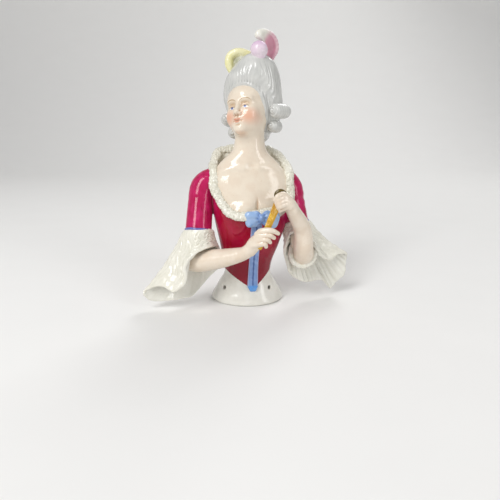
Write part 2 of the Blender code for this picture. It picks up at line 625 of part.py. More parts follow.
def glazed_porcelain():
    material = bpy.data.materials.new("glazed_porcelain")
    material.use_nodes = True
    shader = material.node_tree.nodes["Principled BSDF"]
    shader.inputs["Base Color"].default_value = (0.80, 0.76, 0.68, 1.0)
    shader.inputs["Roughness"].default_value = 0.12
    shader.inputs["Metallic"].default_value = 0.0
    return material


def make_half_doll():
    clear_scene()
    doll_parts = new_collection("half doll")
    clay = new_collection("clay forms")
    tools = new_collection("cutters")
    make_body(clay)
    make_head(clay)
    make_hair(clay)
    make_plumes(clay)
    make_sleeves(clay)
    make_frills(clay)
    make_arms(clay)
    make_hands(clay)
    make_fan(clay)
    make_ruche(clay)
    make_ribbon(clay)
    figure = fuse(clay, "half_doll")
    press(figure, head_frame(), face_strokes())
    doll = add_object("half_doll", figure, doll_parts)
    doll.data.materials.clear()
    doll.data.materials.append(glazed_porcelain())
    thin = doll.modifiers.new("fewer faces", "DECIMATE")
    thin.ratio = MOST_TRIANGLES / (2 * len(figure.polygons))
    make_cutters(tools)
    for tool in tools.objects:
        cut = doll.modifiers.new("cut " + tool.name, "BOOLEAN")
        cut.operation = "DIFFERENCE"
        cut.object = tool
    for obj in (doll, *tools.objects):
        obj.location = BASE_AXIS


make_half_doll()
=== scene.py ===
from math import cos, pi, radians, sin

import bpy
import numpy as np
from mathutils import Matrix, Vector


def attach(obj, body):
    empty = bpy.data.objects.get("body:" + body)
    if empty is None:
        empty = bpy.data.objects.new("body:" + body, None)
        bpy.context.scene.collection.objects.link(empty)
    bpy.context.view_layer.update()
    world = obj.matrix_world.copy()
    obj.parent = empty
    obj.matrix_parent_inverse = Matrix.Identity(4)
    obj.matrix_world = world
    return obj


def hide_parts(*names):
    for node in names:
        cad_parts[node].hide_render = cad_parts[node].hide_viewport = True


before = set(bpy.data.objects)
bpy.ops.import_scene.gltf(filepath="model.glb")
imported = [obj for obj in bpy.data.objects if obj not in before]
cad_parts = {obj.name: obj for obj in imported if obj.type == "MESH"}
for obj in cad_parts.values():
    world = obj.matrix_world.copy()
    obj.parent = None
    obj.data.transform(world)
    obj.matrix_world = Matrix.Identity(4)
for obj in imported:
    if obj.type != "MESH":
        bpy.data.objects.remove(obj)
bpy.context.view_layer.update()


# Studio: a pale floor that curves up into a backdrop, and soft lamps in big boxes round the figure.
# The camera stands a little above the figure's chest and looks down at it, as the photograph does.
CAMERA_DOWN = 16.36
FLOOR_COLOUR = (0.86, 0.855, 0.84, 1.0)
FLOOR_SHADE = (0.84, 0.835, 0.82, 1.0)
# The floor runs back level, then bends up on a quarter round into the backdrop
FLOOR_FRONT, BEND_START, BEND_RADIUS, BACKDROP_TOP, FLOOR_HALF_WIDTH = -1.2, 0.55, 0.35, 1.6, 1.6
FIGURE_MIDDLE = Vector((0.0, 0.0, 0.06))
scene = bpy.context.scene
scene.view_settings.view_transform = "Standard"

camera_data = bpy.data.cameras.new("camera")
camera_data.lens = 30.96
camera_data.sensor_width = 36.0
camera_data.clip_start = 0.005
camera = bpy.data.objects.new("camera", camera_data)
camera.location = (0.0004, -0.1991, 0.0854)
camera.rotation_euler = (radians(90 - CAMERA_DOWN), 0.0, 0.0)
scene.collection.objects.link(camera)
scene.camera = camera

floor_points, floor_faces = [], []
sweep = [(FLOOR_FRONT, 0.0), (BEND_START, 0.0)]
for turn in np.arange(1, 13) * pi / 24:
    sweep.append((BEND_START + BEND_RADIUS * sin(turn), BEND_RADIUS - BEND_RADIUS * cos(turn)))
sweep.append((BEND_START + BEND_RADIUS, BACKDROP_TOP))
for along, up in sweep:
    floor_points += [(-FLOOR_HALF_WIDTH, along, up), (FLOOR_HALF_WIDTH, along, up)]
for row in range(len(sweep) - 1):
    floor_faces.append((2 * row, 2 * row + 1, 2 * row + 3, 2 * row + 2))
floor_mesh = bpy.data.meshes.new("floor")
floor_mesh.from_pydata(floor_points, [], floor_faces)
floor_mesh.shade_smooth()
floor = bpy.data.objects.new("floor", floor_mesh)
scene.collection.objects.link(floor)

floor_finish = bpy.data.materials.new("pale_floor")
floor_finish.use_nodes = True
floor_shader = floor_finish.node_tree.nodes["Principled BSDF"]
floor_shader.inputs["Roughness"].default_value = 0.9
floor_shader.inputs["Specular IOR Level"].default_value = 0.05
floor_grain = floor_finish.node_tree.nodes.new("ShaderNodeTexNoise")
floor_grain.inputs["Scale"].default_value = 90.0
floor_tone = floor_finish.node_tree.nodes.new("ShaderNodeMix")
floor_tone.data_type = "RGBA"
floor_tone.inputs[6].default_value = FLOOR_COLOUR
floor_tone.inputs[7].default_value = FLOOR_SHADE
floor_finish.node_tree.links.new(floor_grain.outputs["Fac"], floor_tone.inputs[0])
floor_finish.node_tree.links.new(floor_tone.outputs[2], floor_shader.inputs["Base Color"])
floor_mesh.materials.append(floor_finish)

# Place, size and strength of each soft box; every one faces the middle of the figure
LAMPS = {
    "key_lamp": ((-0.42, -0.52, 0.62), 0.30, 0.62, 5.2),
    "fill_lamp": ((0.62, -0.50, 0.34), 0.20, 0.60, 1.5),
    "back_lamp": ((0.30, 0.62, 0.70), 0.40, 0.40, 2.3),
}
for lamp_name, (place, wide, tall, power) in LAMPS.items():
    lamp_data = bpy.data.lights.new(lamp_name, "AREA")
    lamp_data.shape = "RECTANGLE"
    lamp_data.size = wide
    lamp_data.size_y = tall
    lamp_data.energy = power
    lamp = bpy.data.objects.new(lamp_name, lamp_data)
    lamp.location = place
    lamp.rotation_euler = (FIGURE_MIDDLE - Vector(place)).to_track_quat("-Z", "Y").to_euler()
    scene.collection.objects.link(lamp)

world = bpy.data.worlds.new("studio")
world.use_nodes = True
sky = world.node_tree.nodes["Background"]
sky.inputs["Color"].default_value = (0.94, 0.94, 0.95, 1.0)
sky.inputs["Strength"].default_value = 0.37
scene.world = world


# Waist base: the slip-cast cone that flares out under the figure, hollow and open underneath, in plain
# white glaze. Four holes just above the rim take the thread that sews it to a pincushion or a skirt.
# Sizes are in millimetres about the base's own upright axis; each row of the body holds a height, half
# width, half depth, middle x, middle y and turn in degrees.
WAIST_AXIS = np.array((-1.1, 7.5, 0.0))
BODY_ROWS = [
    (0.0, 17.4, 13.7, 0.0, 0.0, 0.0),
    (1.4, 18.1, 14.4, 0.0, 0.0, 0.0),
    (8.0, 14.65, 11.6, 0.0, -0.4, 0.0),
    (16.0, 11.2, 8.8, 0.2, -2.2, 8.0),
    (30.0, 14.2, 10.0, 1.3, -4.2, 8.0),
    (43.0, 17.5, 11.4, 2.2, -4.8, 8.0),
    (54.0, 18.6, 9.6, 2.2, -4.8, 8.0),
    (60.5, 18.6, 8.2, 2.2, -4.4, 8.0),
    (67.5, 14.0, 7.4, 1.0, -3.8, 8.0),
    (74.5, 7.6, 6.6, 1.3, -3.8, 8.0),
    (89.4, 6.8, 6.6, 1.4, -3.0, 8.0),
]
WALL = 2.4
BASE_TOP = 19.0
SEW_HOLE_HEIGHT = 7.7
SEW_HOLE_RADIUS = 1.0
SEW_HOLE_ANGLES = (50.0, 130.0)
SEW_HOLE_REACH = 5.0


def smooth_rows(rows, keys):
    """Rows at these keys, on smooth curves through rows that start with their keys."""
    rows = np.asarray(rows, float)
    at = rows[:, 0]
    slopes = np.empty_like(rows)
    slopes[1:-1] = (rows[2:] - rows[:-2]) / (at[2:] - at[:-2])[:, None]
    slopes[0] = (rows[1] - rows[0]) / (at[1] - at[0])
    slopes[-1] = (rows[-1] - rows[-2]) / (at[-1] - at[-2])
    i = np.clip(np.searchsorted(at, keys, side="right") - 1, 0, len(at) - 2)
    step = (at[i + 1] - at[i])[:, None]
    t = np.clip((np.asarray(keys) - at[i])[:, None] / step, 0.0, 1.0)
    ahead = (2 * t**3 - 3 * t**2 + 1) * rows[i] + (t**3 - 2 * t**2 + t) * slopes[i] * step
    return ahead + (3 * t**2 - 2 * t**3) * rows[i + 1] + (t**3 - t**2) * slopes[i + 1] * step


def row_gap(points, table, inset=0.0):
    """How far points lie outside a form given by rows of ovals; less than nothing inside it."""
    width, depth, x, y, turn = (np.interp(points[:, 2], table[:, 0], table[:, k]) for k in range(1, 6))
    c, s = np.cos(np.radians(turn)), np.sin(np.radians(turn))
    across = (points[:, 0] - x) * c + (points[:, 1] - y) * s
    along = (points[:, 1] - y) * c - (points[:, 0] - x) * s
    reach = np.hypot(across, along) + 1e-4
    share = np.hypot(across / (width - inset), along / (depth - inset)) + 1e-6
    return reach * (1.0 - 1.0 / share)


def meld(first, second, softness):
    """Two forms joined as wet clay is, with the crease between them filled by a soft round."""
    near = np.maximum(softness - np.abs(first - second), 0.0) / softness
    return np.minimum(first, second) - near * near * softness / 4


def carve(first, second, softness):
    """A form with another one taken out of it, its edge rounded."""
    return -meld(-first, second, softness)


def skin_over(gap, low, high, grain):
    """Points and four-sided faces over the surface where a gap field is zero."""
    low, high = np.asarray(low, float), np.asarray(high, float)
    cells = (np.ceil((high - low) / (4 * grain)) * 4).astype(int)
    axes = [low[k] + grain * np.arange(cells[k] + 1) for k in range(3)]
    rough_spots = np.stack(np.meshgrid(*[axis[::4] for axis in axes], indexing="ij"), -1)
    values = gap(rough_spots.reshape(-1, 3)).reshape(rough_spots.shape[:3])
    for k in range(3):
        values = np.repeat(values, 4, axis=k)
    values = values[2 : cells[0] + 3, 2 : cells[1] + 3, 2 : cells[2] + 3].copy()
    near = np.argwhere(np.abs(values) < 9 * grain)
    spots = np.stack([axes[k][near[:, k]] for k in range(3)], -1)
    batches = np.array_split(spots, len(spots) // 300000 + 1)
    values[tuple(near.T)] = np.concatenate([gap(batch) for batch in batches])
    for k in range(3):
        for end in (0, -1):
            np.moveaxis(values, k, 0)[end] = grain
    corners, crossings = [], []
    for k in range(3):
        u, v = (k + 1) % 3, (k + 2) % 3
        first = np.moveaxis(np.moveaxis(values, k, 0)[:-1], 0, k)
        second = np.moveaxis(np.moveaxis(values, k, 0)[1:], 0, k)
        at = np.argwhere((first < 0) != (second < 0))
        a, b = first[tuple(at.T)], second[tuple(at.T)]
        crossing = low + at * grain
        crossing[:, k] += a / (a - b) * grain
        around = []
        for back_u, back_v in ((1, 1), (0, 1), (0, 0), (1, 0)):
            cell = at.copy()
            cell[:, u] -= back_u
            cell[:, v] -= back_v
            around.append(np.ravel_multi_index(cell.T, cells))
        quad = np.stack(around, 1)
        quad[a > 0] = quad[a > 0][:, ::-1]
        corners.append(quad)
        crossings.append(np.repeat(crossing, 4, axis=0))
    corners, crossings = np.concatenate(corners), np.concatenate(crossings)
    _, index = np.unique(corners.ravel(), return_inverse=True)
    count = np.bincount(index)
    points = np.stack([np.bincount(index, crossings[:, k]) / count for k in range(3)], 1)
    faces = index.reshape(-1, 4)
    ends = np.concatenate([faces[:, [0, 1]], faces[:, [1, 2]], faces[:, [2, 3]], faces[:, [3, 0]]])
    share = np.bincount(ends[:, 0], minlength=len(points))[:, None]
    for ease in (0.6, 0.6, 0.3, 0.0):
        if ease:
            beside = [np.bincount(ends[:, 0], points[ends[:, 1], k], len(points)) for k in range(3)]
            points = points + ease * (np.stack(beside, 1) / share - points)
        here = gap(points)
        slope = np.stack([(gap(points + 0.04 * axis) - here) / 0.04 for axis in np.eye(3)], 1)
        steep = np.maximum((slope**2).sum(1), 0.25)
        points = points - slope * (np.clip(here, -grain, grain) / steep)[:, None]
    return points, faces


def piece(name, points, faces, finish, **marks):
    """A smooth mesh from points in millimetres, with a mark for each point that the paint reads."""
    mesh = bpy.data.meshes.new(name)
    places = (np.asarray(points, float) + WAIST_AXIS) / 1000.0
    mesh.from_pydata(places.tolist(), [], [tuple(face) for face in faces])
    mesh.shade_smooth()
    for mark, amounts in marks.items():
        layer = mesh.attributes.new(mark, "FLOAT", "POINT")
        layer.data.foreach_set("value", np.asarray(amounts, np.float32))
    mesh.materials.append(finish)
    made = bpy.data.objects.new(name, mesh)
    scene.collection.objects.link(made)
    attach(made, "root")
    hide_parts("half_doll")


def paint(code):
    """A colour from its web code, as light amounts."""
    parts = [int(code[i : i + 2], 16) / 255 for i in (1, 3, 5)]
    return (*[p / 12.92 if p <= 0.04045 else ((p + 0.055) / 1.055) ** 2.4 for p in parts], 1.0)


def feed(tree, socket, value):
    """Puts a value on a node's socket, or draws a link to it."""
    if isinstance(value, bpy.types.NodeSocket):
        tree.links.new(value, socket)
    else:
        socket.default_value = value


def sums(tree, operation, *values):
    """What a sum such as ADD or MULTIPLY makes of the values."""
    node = tree.nodes.new("ShaderNodeMath")
    node.operation = operation
    for socket, value in zip(node.inputs, values):
        feed(tree, socket, value)
    return node.outputs[0]


def blended(tree, share, first, second):
    """The colour between two, by a share from 0 to 1."""
    node = tree.nodes.new("ShaderNodeMix")
    node.data_type = "RGBA"
    feed(tree, node.inputs[0], share)
    feed(tree, node.inputs[6], first)
    feed(tree, node.inputs[7], second)
    return node.outputs[2]


def eased(tree, value, start, end):
    """A mask that goes softly from 0 at start to 1 at end."""
    node = tree.nodes.new("ShaderNodeMapRange")
    node.interpolation_type = "SMOOTHSTEP"
    feed(tree, node.inputs["Value"], value)
    node.inputs["From Min"].default_value = start
    node.inputs["From Max"].default_value = end
    return node.outputs["Result"]


def clouds(tree, place, scale, detail=3.0, stretch=None):
    """A drifting value, its features as wide as 1 / scale millimetres."""
    if stretch:
        node = tree.nodes.new("ShaderNodeMapping")
        feed(tree, node.inputs["Vector"], place)
        node.inputs["Scale"].default_value = stretch
        place = node.outputs["Vector"]
    node = tree.nodes.new("ShaderNodeTexNoise")
    feed(tree, node.inputs["Vector"], place)
    node.inputs["Scale"].default_value = scale
    node.inputs["Detail"].default_value = detail
    return node.outputs["Fac"]


# The clear glaze over every piece: it ripples like orange peel, thins and thickens, and holds fine specks
kiln_glaze = bpy.data.node_groups.new("kiln_glaze", "ShaderNodeTree")
kiln_glaze.interface.new_socket("Place", in_out="INPUT", socket_type="NodeSocketVector")
kiln_glaze.interface.new_socket("Smoothest", in_out="INPUT", socket_type="NodeSocketFloat")
kiln_glaze.interface.new_socket("Dullest", in_out="INPUT", socket_type="NodeSocketFloat")
for made_name in ("Height", "Roughness", "Drift", "Speck"):
    kiln_glaze.interface.new_socket(made_name, in_out="OUTPUT", socket_type="NodeSocketFloat")
glaze_in = kiln_glaze.nodes.new("NodeGroupInput")
glaze_out = kiln_glaze.nodes.new("NodeGroupOutput")
peel = clouds(kiln_glaze, glaze_in.outputs["Place"], 0.9, 2.0)
pool = clouds(kiln_glaze, glaze_in.outputs["Place"], 0.16, 2.0)
rise = sums(kiln_glaze, "ADD", peel, sums(kiln_glaze, "MULTIPLY", pool, 3.0))
feed(kiln_glaze, glaze_out.inputs["Height"], rise)
dulled = kiln_glaze.nodes.new("ShaderNodeMapRange")
feed(kiln_glaze, dulled.inputs["Value"], pool)
dulled.inputs["From Min"].default_value = 0.3
dulled.inputs["From Max"].default_value = 0.7
feed(kiln_glaze, dulled.inputs["To Min"], glaze_in.outputs["Smoothest"])
feed(kiln_glaze, dulled.inputs["To Max"], glaze_in.outputs["Dullest"])
feed(kiln_glaze, glaze_out.inputs["Roughness"], dulled.outputs["Result"])
drift = clouds(kiln_glaze, glaze_in.outputs["Place"], 0.22)
feed(kiln_glaze, glaze_out.inputs["Drift"], eased(kiln_glaze, drift, 0.3, 0.7))
flecks = clouds(kiln_glaze, glaze_in.outputs["Place"], 1.7, 0.0)
feed(kiln_glaze, glaze_out.inputs["Speck"], eased(kiln_glaze, flecks, 0.78, 0.83))


class Glazed:
    """A painted and glazed finish: two tones that drift, and a deeper one that gathers in the hollows."""

    def __init__(self, name, tone, shade, pooled, smoothest=0.07, dullest=0.15, ripple=0.10, gather=0.030):
        self.material = bpy.data.materials.new(name)
        self.material.use_nodes = True
        self.tree = self.material.node_tree
        self.shader = self.tree.nodes["Principled BSDF"]
        self.shader.inputs["IOR"].default_value = 1.52
        where = self.node("TexCoord")
        scaled = self.node("VectorMath")
        scaled.operation = "SCALE"
        self.metres = where.outputs["Object"]
        self.feed(scaled.inputs[0], self.metres)
        scaled.inputs["Scale"].default_value = 1000.0
        self.place = scaled.outputs[0]
        glaze = self.node("Group")
        glaze.node_tree = kiln_glaze
        self.feed(glaze.inputs["Place"], self.place)
        glaze.inputs["Smoothest"].default_value = smoothest
        glaze.inputs["Dullest"].default_value = dullest
        self.feed(self.shader.inputs["Roughness"], glaze.outputs["Roughness"])
        self.bump = self.node("Bump")
        self.bump.inputs["Strength"].default_value = ripple
        self.bump.inputs["Distance"].default_value = 0.0004
        self.height = glaze.outputs["Height"]
        self.feed(self.bump.inputs["Height"], self.height)
        self.feed(self.shader.inputs["Normal"], self.bump.outputs["Normal"])
        shape = self.node("NewGeometry")
        in_hollows = self.eased(shape.outputs["Pointiness"], 0.497, 0.497 - gather)
        self.colour = blended(self.tree, glaze.outputs["Drift"], paint(tone), paint(shade))
        self.lay(in_hollows, pooled, 0.75)
        self.lay(glaze.outputs["Speck"], pooled, 0.25)

    # The tools above, for this finish's own nodes
    def node(self, kind):
        return self.tree.nodes.new("ShaderNode" + kind)

    def feed(self, socket, value):
        feed(self.tree, socket, value)

    def sums(self, operation, *values):
        return sums(self.tree, operation, *values)

    def eased(self, value, start, end):
        return eased(self.tree, value, start, end)

    def clouds(self, scale, detail=3.0, stretch=None):
        return clouds(self.tree, self.place, scale, detail, stretch)

    def lay(self, mask, tone, strength=1.0):
        """Lays another colour over what is there, where the mask says."""
        if strength != 1.0:
            mask = self.sums("MULTIPLY", mask, strength)
        self.colour = blended(self.tree, mask, self.colour, paint(tone))
        self.feed(self.shader.inputs["Base Color"], self.colour)

    def mark(self, name):
        """What a point's mark says, such as how far it lies along its piece."""
        node = self.node("Attribute")
        node.attribute_name = name
        return node.outputs["Fac"]


body_table = smooth_rows(BODY_ROWS, np.arange(-2.0, 92.0, 0.25))


def on_body(height, angle, raise_by=0.0, reach=None):
    """The point at this height and angle in degrees from the front, on the body's skin."""
    _, width, depth, x, y, turn = smooth_rows(BODY_ROWS, [height])[0]
    turn, angle = radians(turn), radians(angle)
    across = sin(angle) * ((width if reach is None else reach) + raise_by)
    ahead = cos(angle) * ((depth if reach is None else reach) + raise_by)
    left_way = x + cos(turn) * across + sin(turn) * ahead
    back_way = y + sin(turn) * across - cos(turn) * ahead
    return np.array((left_way, back_way, height))


def base_gap(points):
    solid = -meld(-row_gap(points, body_table), points[:, 2], 0.7)
    solid = carve(solid, row_gap(points, body_table, WALL), 0.7)
    solid = np.maximum(solid, points[:, 2] - BASE_TOP)
    _, rim_width, rim_depth, *_ = BODY_ROWS[1]
    for side in (-1, 1):
        for angle in SEW_HOLE_ANGLES:
            place = on_body(SEW_HOLE_HEIGHT, side * angle)
            out = (place - on_body(SEW_HOLE_HEIGHT, 0.0, reach=0.0)) / (rim_width**2, rim_depth**2, 1.0)
            out[2] = 0.0
            out /= np.linalg.norm(out)
            along = (points - place) @ out
            radial = np.linalg.norm(points - place - along[:, None] * out, axis=1) - SEW_HOLE_RADIUS
            solid = carve(solid, np.maximum(radial, -SEW_HOLE_REACH - along), 0.6)
    return solid


white_glaze = Glazed("white_glaze", "#e9e7df", "#dfddd4", "#b9b3a2")
piece("waist_base", *skin_over(base_gap, (-19.5, -16, -1.5), (19.5, 15, 21), 0.4), white_glaze.material)


# Skin: the head, neck and bare chest, cast in one with the body under the dress, and painted in flesh
# colour under the glaze. The chest has soft breasts and collar bones. The face is a calm doll's face.
HEAD_PLACE = np.array((0.9, -2.5, 89.4))
HEAD_TURN = Matrix.Rotation(radians(-28), 3, "Z") @ Matrix.Rotation(radians(-14), 3, "X")
HEAD_TURN = HEAD_TURN @ Matrix.Rotation(radians(-9), 3, "Y")
HEAD_AXES = np.array(HEAD_TURN)
BODY_AXES = np.array(Matrix.Rotation(radians(8), 3, "Z"))
BREAST_RADIUS = 7.2
CHEST_HEIGHT = 54.0
# Where the cast torso ends under the head, where its hollow ends, and where the bare skin begins
TORSO_TOP = 87.0
HOLLOW_TOP = 73.0
SKIN_FOOT = 40.0
# Height, angle from the front and rise of three spots along each collar bone
COLLAR_BONE = ((66.4, 14.0, -0.35), (66.0, 38.0, -0.45), (64.6, 60.0, -0.7))


def egg(points, centre, radii):
    """How far points lie outside an egg."""
    radii = np.asarray(radii, float)
    away = points - np.asarray(centre, float)
    share = np.linalg.norm(away / radii, axis=1)
    return share * (share - 1.0) / np.maximum(np.linalg.norm(away / radii**2, axis=1), 1e-6)


def smooth_line(points, per_span, closed=False):
    """A smooth line through the points."""
    points = np.asarray(points, float)
    count = len(points)
    if not closed:
        points = np.concatenate([[2 * points[0] - points[1]], points, [2 * points[-1] - points[-2]]])
    line = []
    for i in range(count if closed else count - 1):
        p0, p1, p2, p3 = (points[(i + k) % count] for k in (-1, 0, 1, 2)) if closed else points[i : i + 4]
        for t in np.arange(per_span) / per_span:
            line.append(
                0.5 * (2 * p1 + (p2 - p0) * t + (2 * p0 - 5 * p1 + 4 * p2 - p3) * t**2
                       + (3 * p1 - p0 - 3 * p2 + p3) * t**3)
            )
    if not closed:
        line.append(points[-2])
    return np.array(line)


def limb(points, line, sizes, per_span=4):
    """How far points lie outside a round tapering limb along a smooth line."""
    knots = smooth_line(np.column_stack([line, sizes]), per_span)
    nearest = np.full(len(points), 1e9)
    for start, end in zip(knots[:-1], knots[1:]):
        run = end[:3] - start[:3]
        share = np.clip((points - start[:3]) @ run / (run @ run), 0.0, 1.0)
        away = np.linalg.norm(points - start[:3] - share[:, None] * run, axis=1)
        nearest = np.minimum(nearest, away - (start[3] + share * (end[3] - start[3])))
    return nearest


def pressed(points, centre, radii, depth):
    """A soft dent round a centre, to add to a form; a swelling where its depth is less than nothing."""
    away = (points - np.asarray(centre, float)) / np.asarray(radii, float)
    return depth * np.exp(-(away**2).sum(1))


def torso_gap(points):
    form = row_gap(points, body_table)
    for side in (-1, 1):
        middle = on_body(45.6, side * 29.0, 1.5 - BREAST_RADIUS)
        form = meld(form, egg(points, middle, (BREAST_RADIUS * 0.92, BREAST_RADIUS, BREAST_RADIUS)), 1.4)
        form += pressed(points, on_body(50.0, 3.3 + side * 11.0), (3.3, 3.0, 3.2), -1.1)
    form += pressed(points, on_body(50.0, 3.3, 0.8), (0.7, 2.6, 3.0), 1.0)
    chest = on_body(CHEST_HEIGHT, 0.0, reach=0.0)
    blades = (points - chest) @ BODY_AXES
    return meld(form, egg(blades, (0, 3.6, 0.6), (17.1, 6.5, 9.0)), 1.2)


def modelled(form, place, steps):
    """A form with lumps melded on and touches of the tool pressed in, one after the other."""
    for kind, centre, half_sizes, amount in steps.values():
        if kind == "lump":
            form = meld(form, egg(place, centre, half_sizes), amount)
        else:
            form = form + pressed(place, centre, half_sizes, amount)
    return form


# The head is modelled in its own axes: X to its left, Y to the back of it, Z to its crown. Each lump has its
# centre, half sizes and softness, each press its centre, half sizes and depth; those off X 0 come in pairs.
SKULL = ((0, 0.5, 3.0), (9.2, 10.6, 11.1))
HEAD_STEPS = {
    "forehead": ("lump", (0, -3.5, 5.6), (7.8, 6.7, 5.9), 2.0),
    "middle_face": ("lump", (0, -4.2, -1.8), (7.2, 6.2, 7.5), 2.4),
    "jaw": ("lump", (0, -3.9, -5.2), (6.3, 6.3, 5.9), 2.0),
    "chin": ("lump", (0, -8.7, -8.8), (2.5, 2.2, 1.9), 2.2),
    "mouth_mound": ("lump", (0, -8.7, -5.4), (3.2, 2.2, 2.6), 2.0),
    "cheeks": ("lump", (4.0, -6.9, -2.6), (3.0, 2.8, 3.2), 2.2),
    "brow_ridges": ("lump", (2.9, -8.3, 3.9), (3.1, 1.7, 1.1), 1.6),
    "eye_sockets": ("press", (3.2, -9.8, 1.3), (1.9, 2.2, 1.35), 0.95),
    "socket_corners": ("press", (1.5, -10.4, 1.2), (0.9, 1.6, 1.4), 0.35),
    "temples": ("press", (7.8, -6.0, 3.4), (2.0, 2.4, 2.6), 0.35),
}
NOSE_LINE = [(0, -9.3, 3.2), (0, -10.9, 0.4), (0, -12.0, -2.0)]
NOSE_SIZES = (0.95, 0.85, 1.15)
FACE_STEPS = {
    "nose_wings": ("lump", (1.2, -11.0, -2.6), (0.80, 1.0, 0.72), 0.5),
    "nostrils": ("press", (0.62, -11.9, -3.35), (0.42, 0.5, 0.34), 0.55),
    "eyeballs": ("lump", (3.2, -8.05, 0.85), (1.8, 1.55, 1.35), 0.5),
    "upper_lid_folds": ("press", (3.2, -9.6, 2.35), (1.7, 1.2, 0.28), 0.22),
    "lower_lid_folds": ("press", (3.25, -9.7, 0.05), (1.25, 1.0, 0.20), 0.16),
    "upper_lip": ("lump", (0.75, -10.55, -4.95), (1.30, 0.80, 0.46), 0.6),
    "lower_lip": ("lump", (0, -10.3, -6.10), (1.60, 0.86, 0.54), 0.7),
    "mouth_line": ("press", (0, -11.4, -5.55), (1.9, 1.3, 0.24), 0.42),
    "mouth_corners": ("press", (1.95, -10.4, -5.75), (0.5, 1.2, 0.40), 0.25),
    "lip_groove": ("press", (0, -11.2, -4.05), (0.42, 1.2, 0.75), 0.20),
    "chin_hollow": ("press", (0, -10.9, -7.25), (1.5, 1.2, 0.55), 0.40),
}


def head_gap(local):
    mirrored = local.copy()
    mirrored[:, 0] = np.abs(mirrored[:, 0])
    form = modelled(egg(mirrored, *SKULL), mirrored, HEAD_STEPS)
    form = meld(form, limb(mirrored, NOSE_LINE, NOSE_SIZES), 1.3)
    return modelled(form, mirrored, FACE_STEPS)


def body_hollow(points):
    """The hollow that the slip leaves inside the body."""
    return np.maximum(row_gap(points, body_table, WALL), points[:, 2] - HOLLOW_TOP)


def skin_gap(points):
    local = (points - HEAD_PLACE) @ HEAD_AXES
    form = meld(np.maximum(torso_gap(points), points[:, 2] - TORSO_TOP), head_gap(local), 2.4)
    for side in (-1, 1):
        bone = [on_body(height, side * angle, rise_by) for height, angle, rise_by in COLLAR_BONE]
        form = meld(form, limb(points, bone, (0.3, 0.3, 0.2)), 2.8)
    form += pressed(points, on_body(67.4, 0.0), (1.5, 2.0, 1.3), 0.35)
    form = np.maximum(form, SKIN_FOOT - points[:, 2])
    return carve(form, body_hollow(points), 0.4)


# A soft oval touch of paint, the brush mark from which the face is painted
paint_dab = bpy.data.node_groups.new("paint_dab", "ShaderNodeTree")
for socket_name in ("Place", "Centre", "Size"):
    paint_dab.interface.new_socket(socket_name, in_out="INPUT", socket_type="NodeSocketVector")
paint_dab.interface.new_socket("Soft", in_out="INPUT", socket_type="NodeSocketFloat")
paint_dab.interface.new_socket("Mask", in_out="OUTPUT", socket_type="NodeSocketFloat")
dab_in = paint_dab.nodes.new("NodeGroupInput")
dab_out = paint_dab.nodes.new("NodeGroupOutput")
dab_away = paint_dab.nodes.new("ShaderNodeVectorMath")
dab_away.operation = "SUBTRACT"
feed(paint_dab, dab_away.inputs[0], dab_in.outputs["Place"])
feed(paint_dab, dab_away.inputs[1], dab_in.outputs["Centre"])
dab_share = paint_dab.nodes.new("ShaderNodeVectorMath")
dab_share.operation = "DIVIDE"
feed(paint_dab, dab_share.inputs[0], dab_away.outputs[0])
feed(paint_dab, dab_share.inputs[1], dab_in.outputs["Size"])
dab_reach = paint_dab.nodes.new("ShaderNodeVectorMath")
dab_reach.operation = "LENGTH"
feed(paint_dab, dab_reach.inputs[0], dab_share.outputs[0])
dab_edge = paint_dab.nodes.new("ShaderNodeMapRange")
dab_edge.interpolation_type = "SMOOTHSTEP"
feed(paint_dab, dab_edge.inputs["Value"], dab_reach.outputs["Value"])
feed(paint_dab, dab_edge.inputs["From Min"], sums(paint_dab, "ADD", dab_in.outputs["Soft"], 1.0))
feed(paint_dab, dab_edge.inputs["From Max"], sums(paint_dab, "SUBTRACT", 1.0, dab_in.outputs["Soft"]))
feed(paint_dab, dab_out.inputs["Mask"], dab_edge.outputs["Result"])

face_paint = Glazed("face_and_chest_paint", "#e9ddcb", "#e4d5c2", "#c9a888")
in_head = face_paint.node("Mapping")
in_head.vector_type = "TEXTURE"
face_paint.feed(in_head.inputs["Vector"], face_paint.metres)
in_head.inputs["Location"].default_value = (HEAD_PLACE + WAIST_AXIS) / 1000.0
in_head.inputs["Rotation"].default_value = HEAD_TURN.to_euler("XYZ")
in_head.inputs["Scale"].default_value = (0.001, 0.001, 0.001)
apart = face_paint.node("SeparateXYZ")
face_paint.feed(apart.inputs[0], in_head.outputs["Vector"])
mirror = face_paint.node("CombineXYZ")
face_paint.feed(mirror.inputs[0], face_paint.sums("ABSOLUTE", apart.outputs[0]))
face_paint.feed(mirror.inputs[1], apart.outputs[1])
face_paint.feed(mirror.inputs[2], apart.outputs[2])


def dab(centre, size, soft):
    """A painted touch on both sides of the face."""
    node = face_paint.node("Group")
    node.node_tree = paint_dab
    face_paint.feed(node.inputs["Place"], mirror.outputs[0])
    node.inputs["Centre"].default_value = centre
    node.inputs["Size"].default_value = size
    node.inputs["Soft"].default_value = soft
    return node.outputs["Mask"]


def arc(centre, size, soft, lift):
    """An arched brush stroke: a touch with most of the same touch, set lower, left bare."""
    bare = dab((centre[0], centre[1], centre[2] - lift), (size[0] * 1.06, size[1], size[2]), soft)
    return face_paint.sums("MULTIPLY", dab(centre, size, soft), face_paint.sums("SUBTRACT", 1.0, bare))


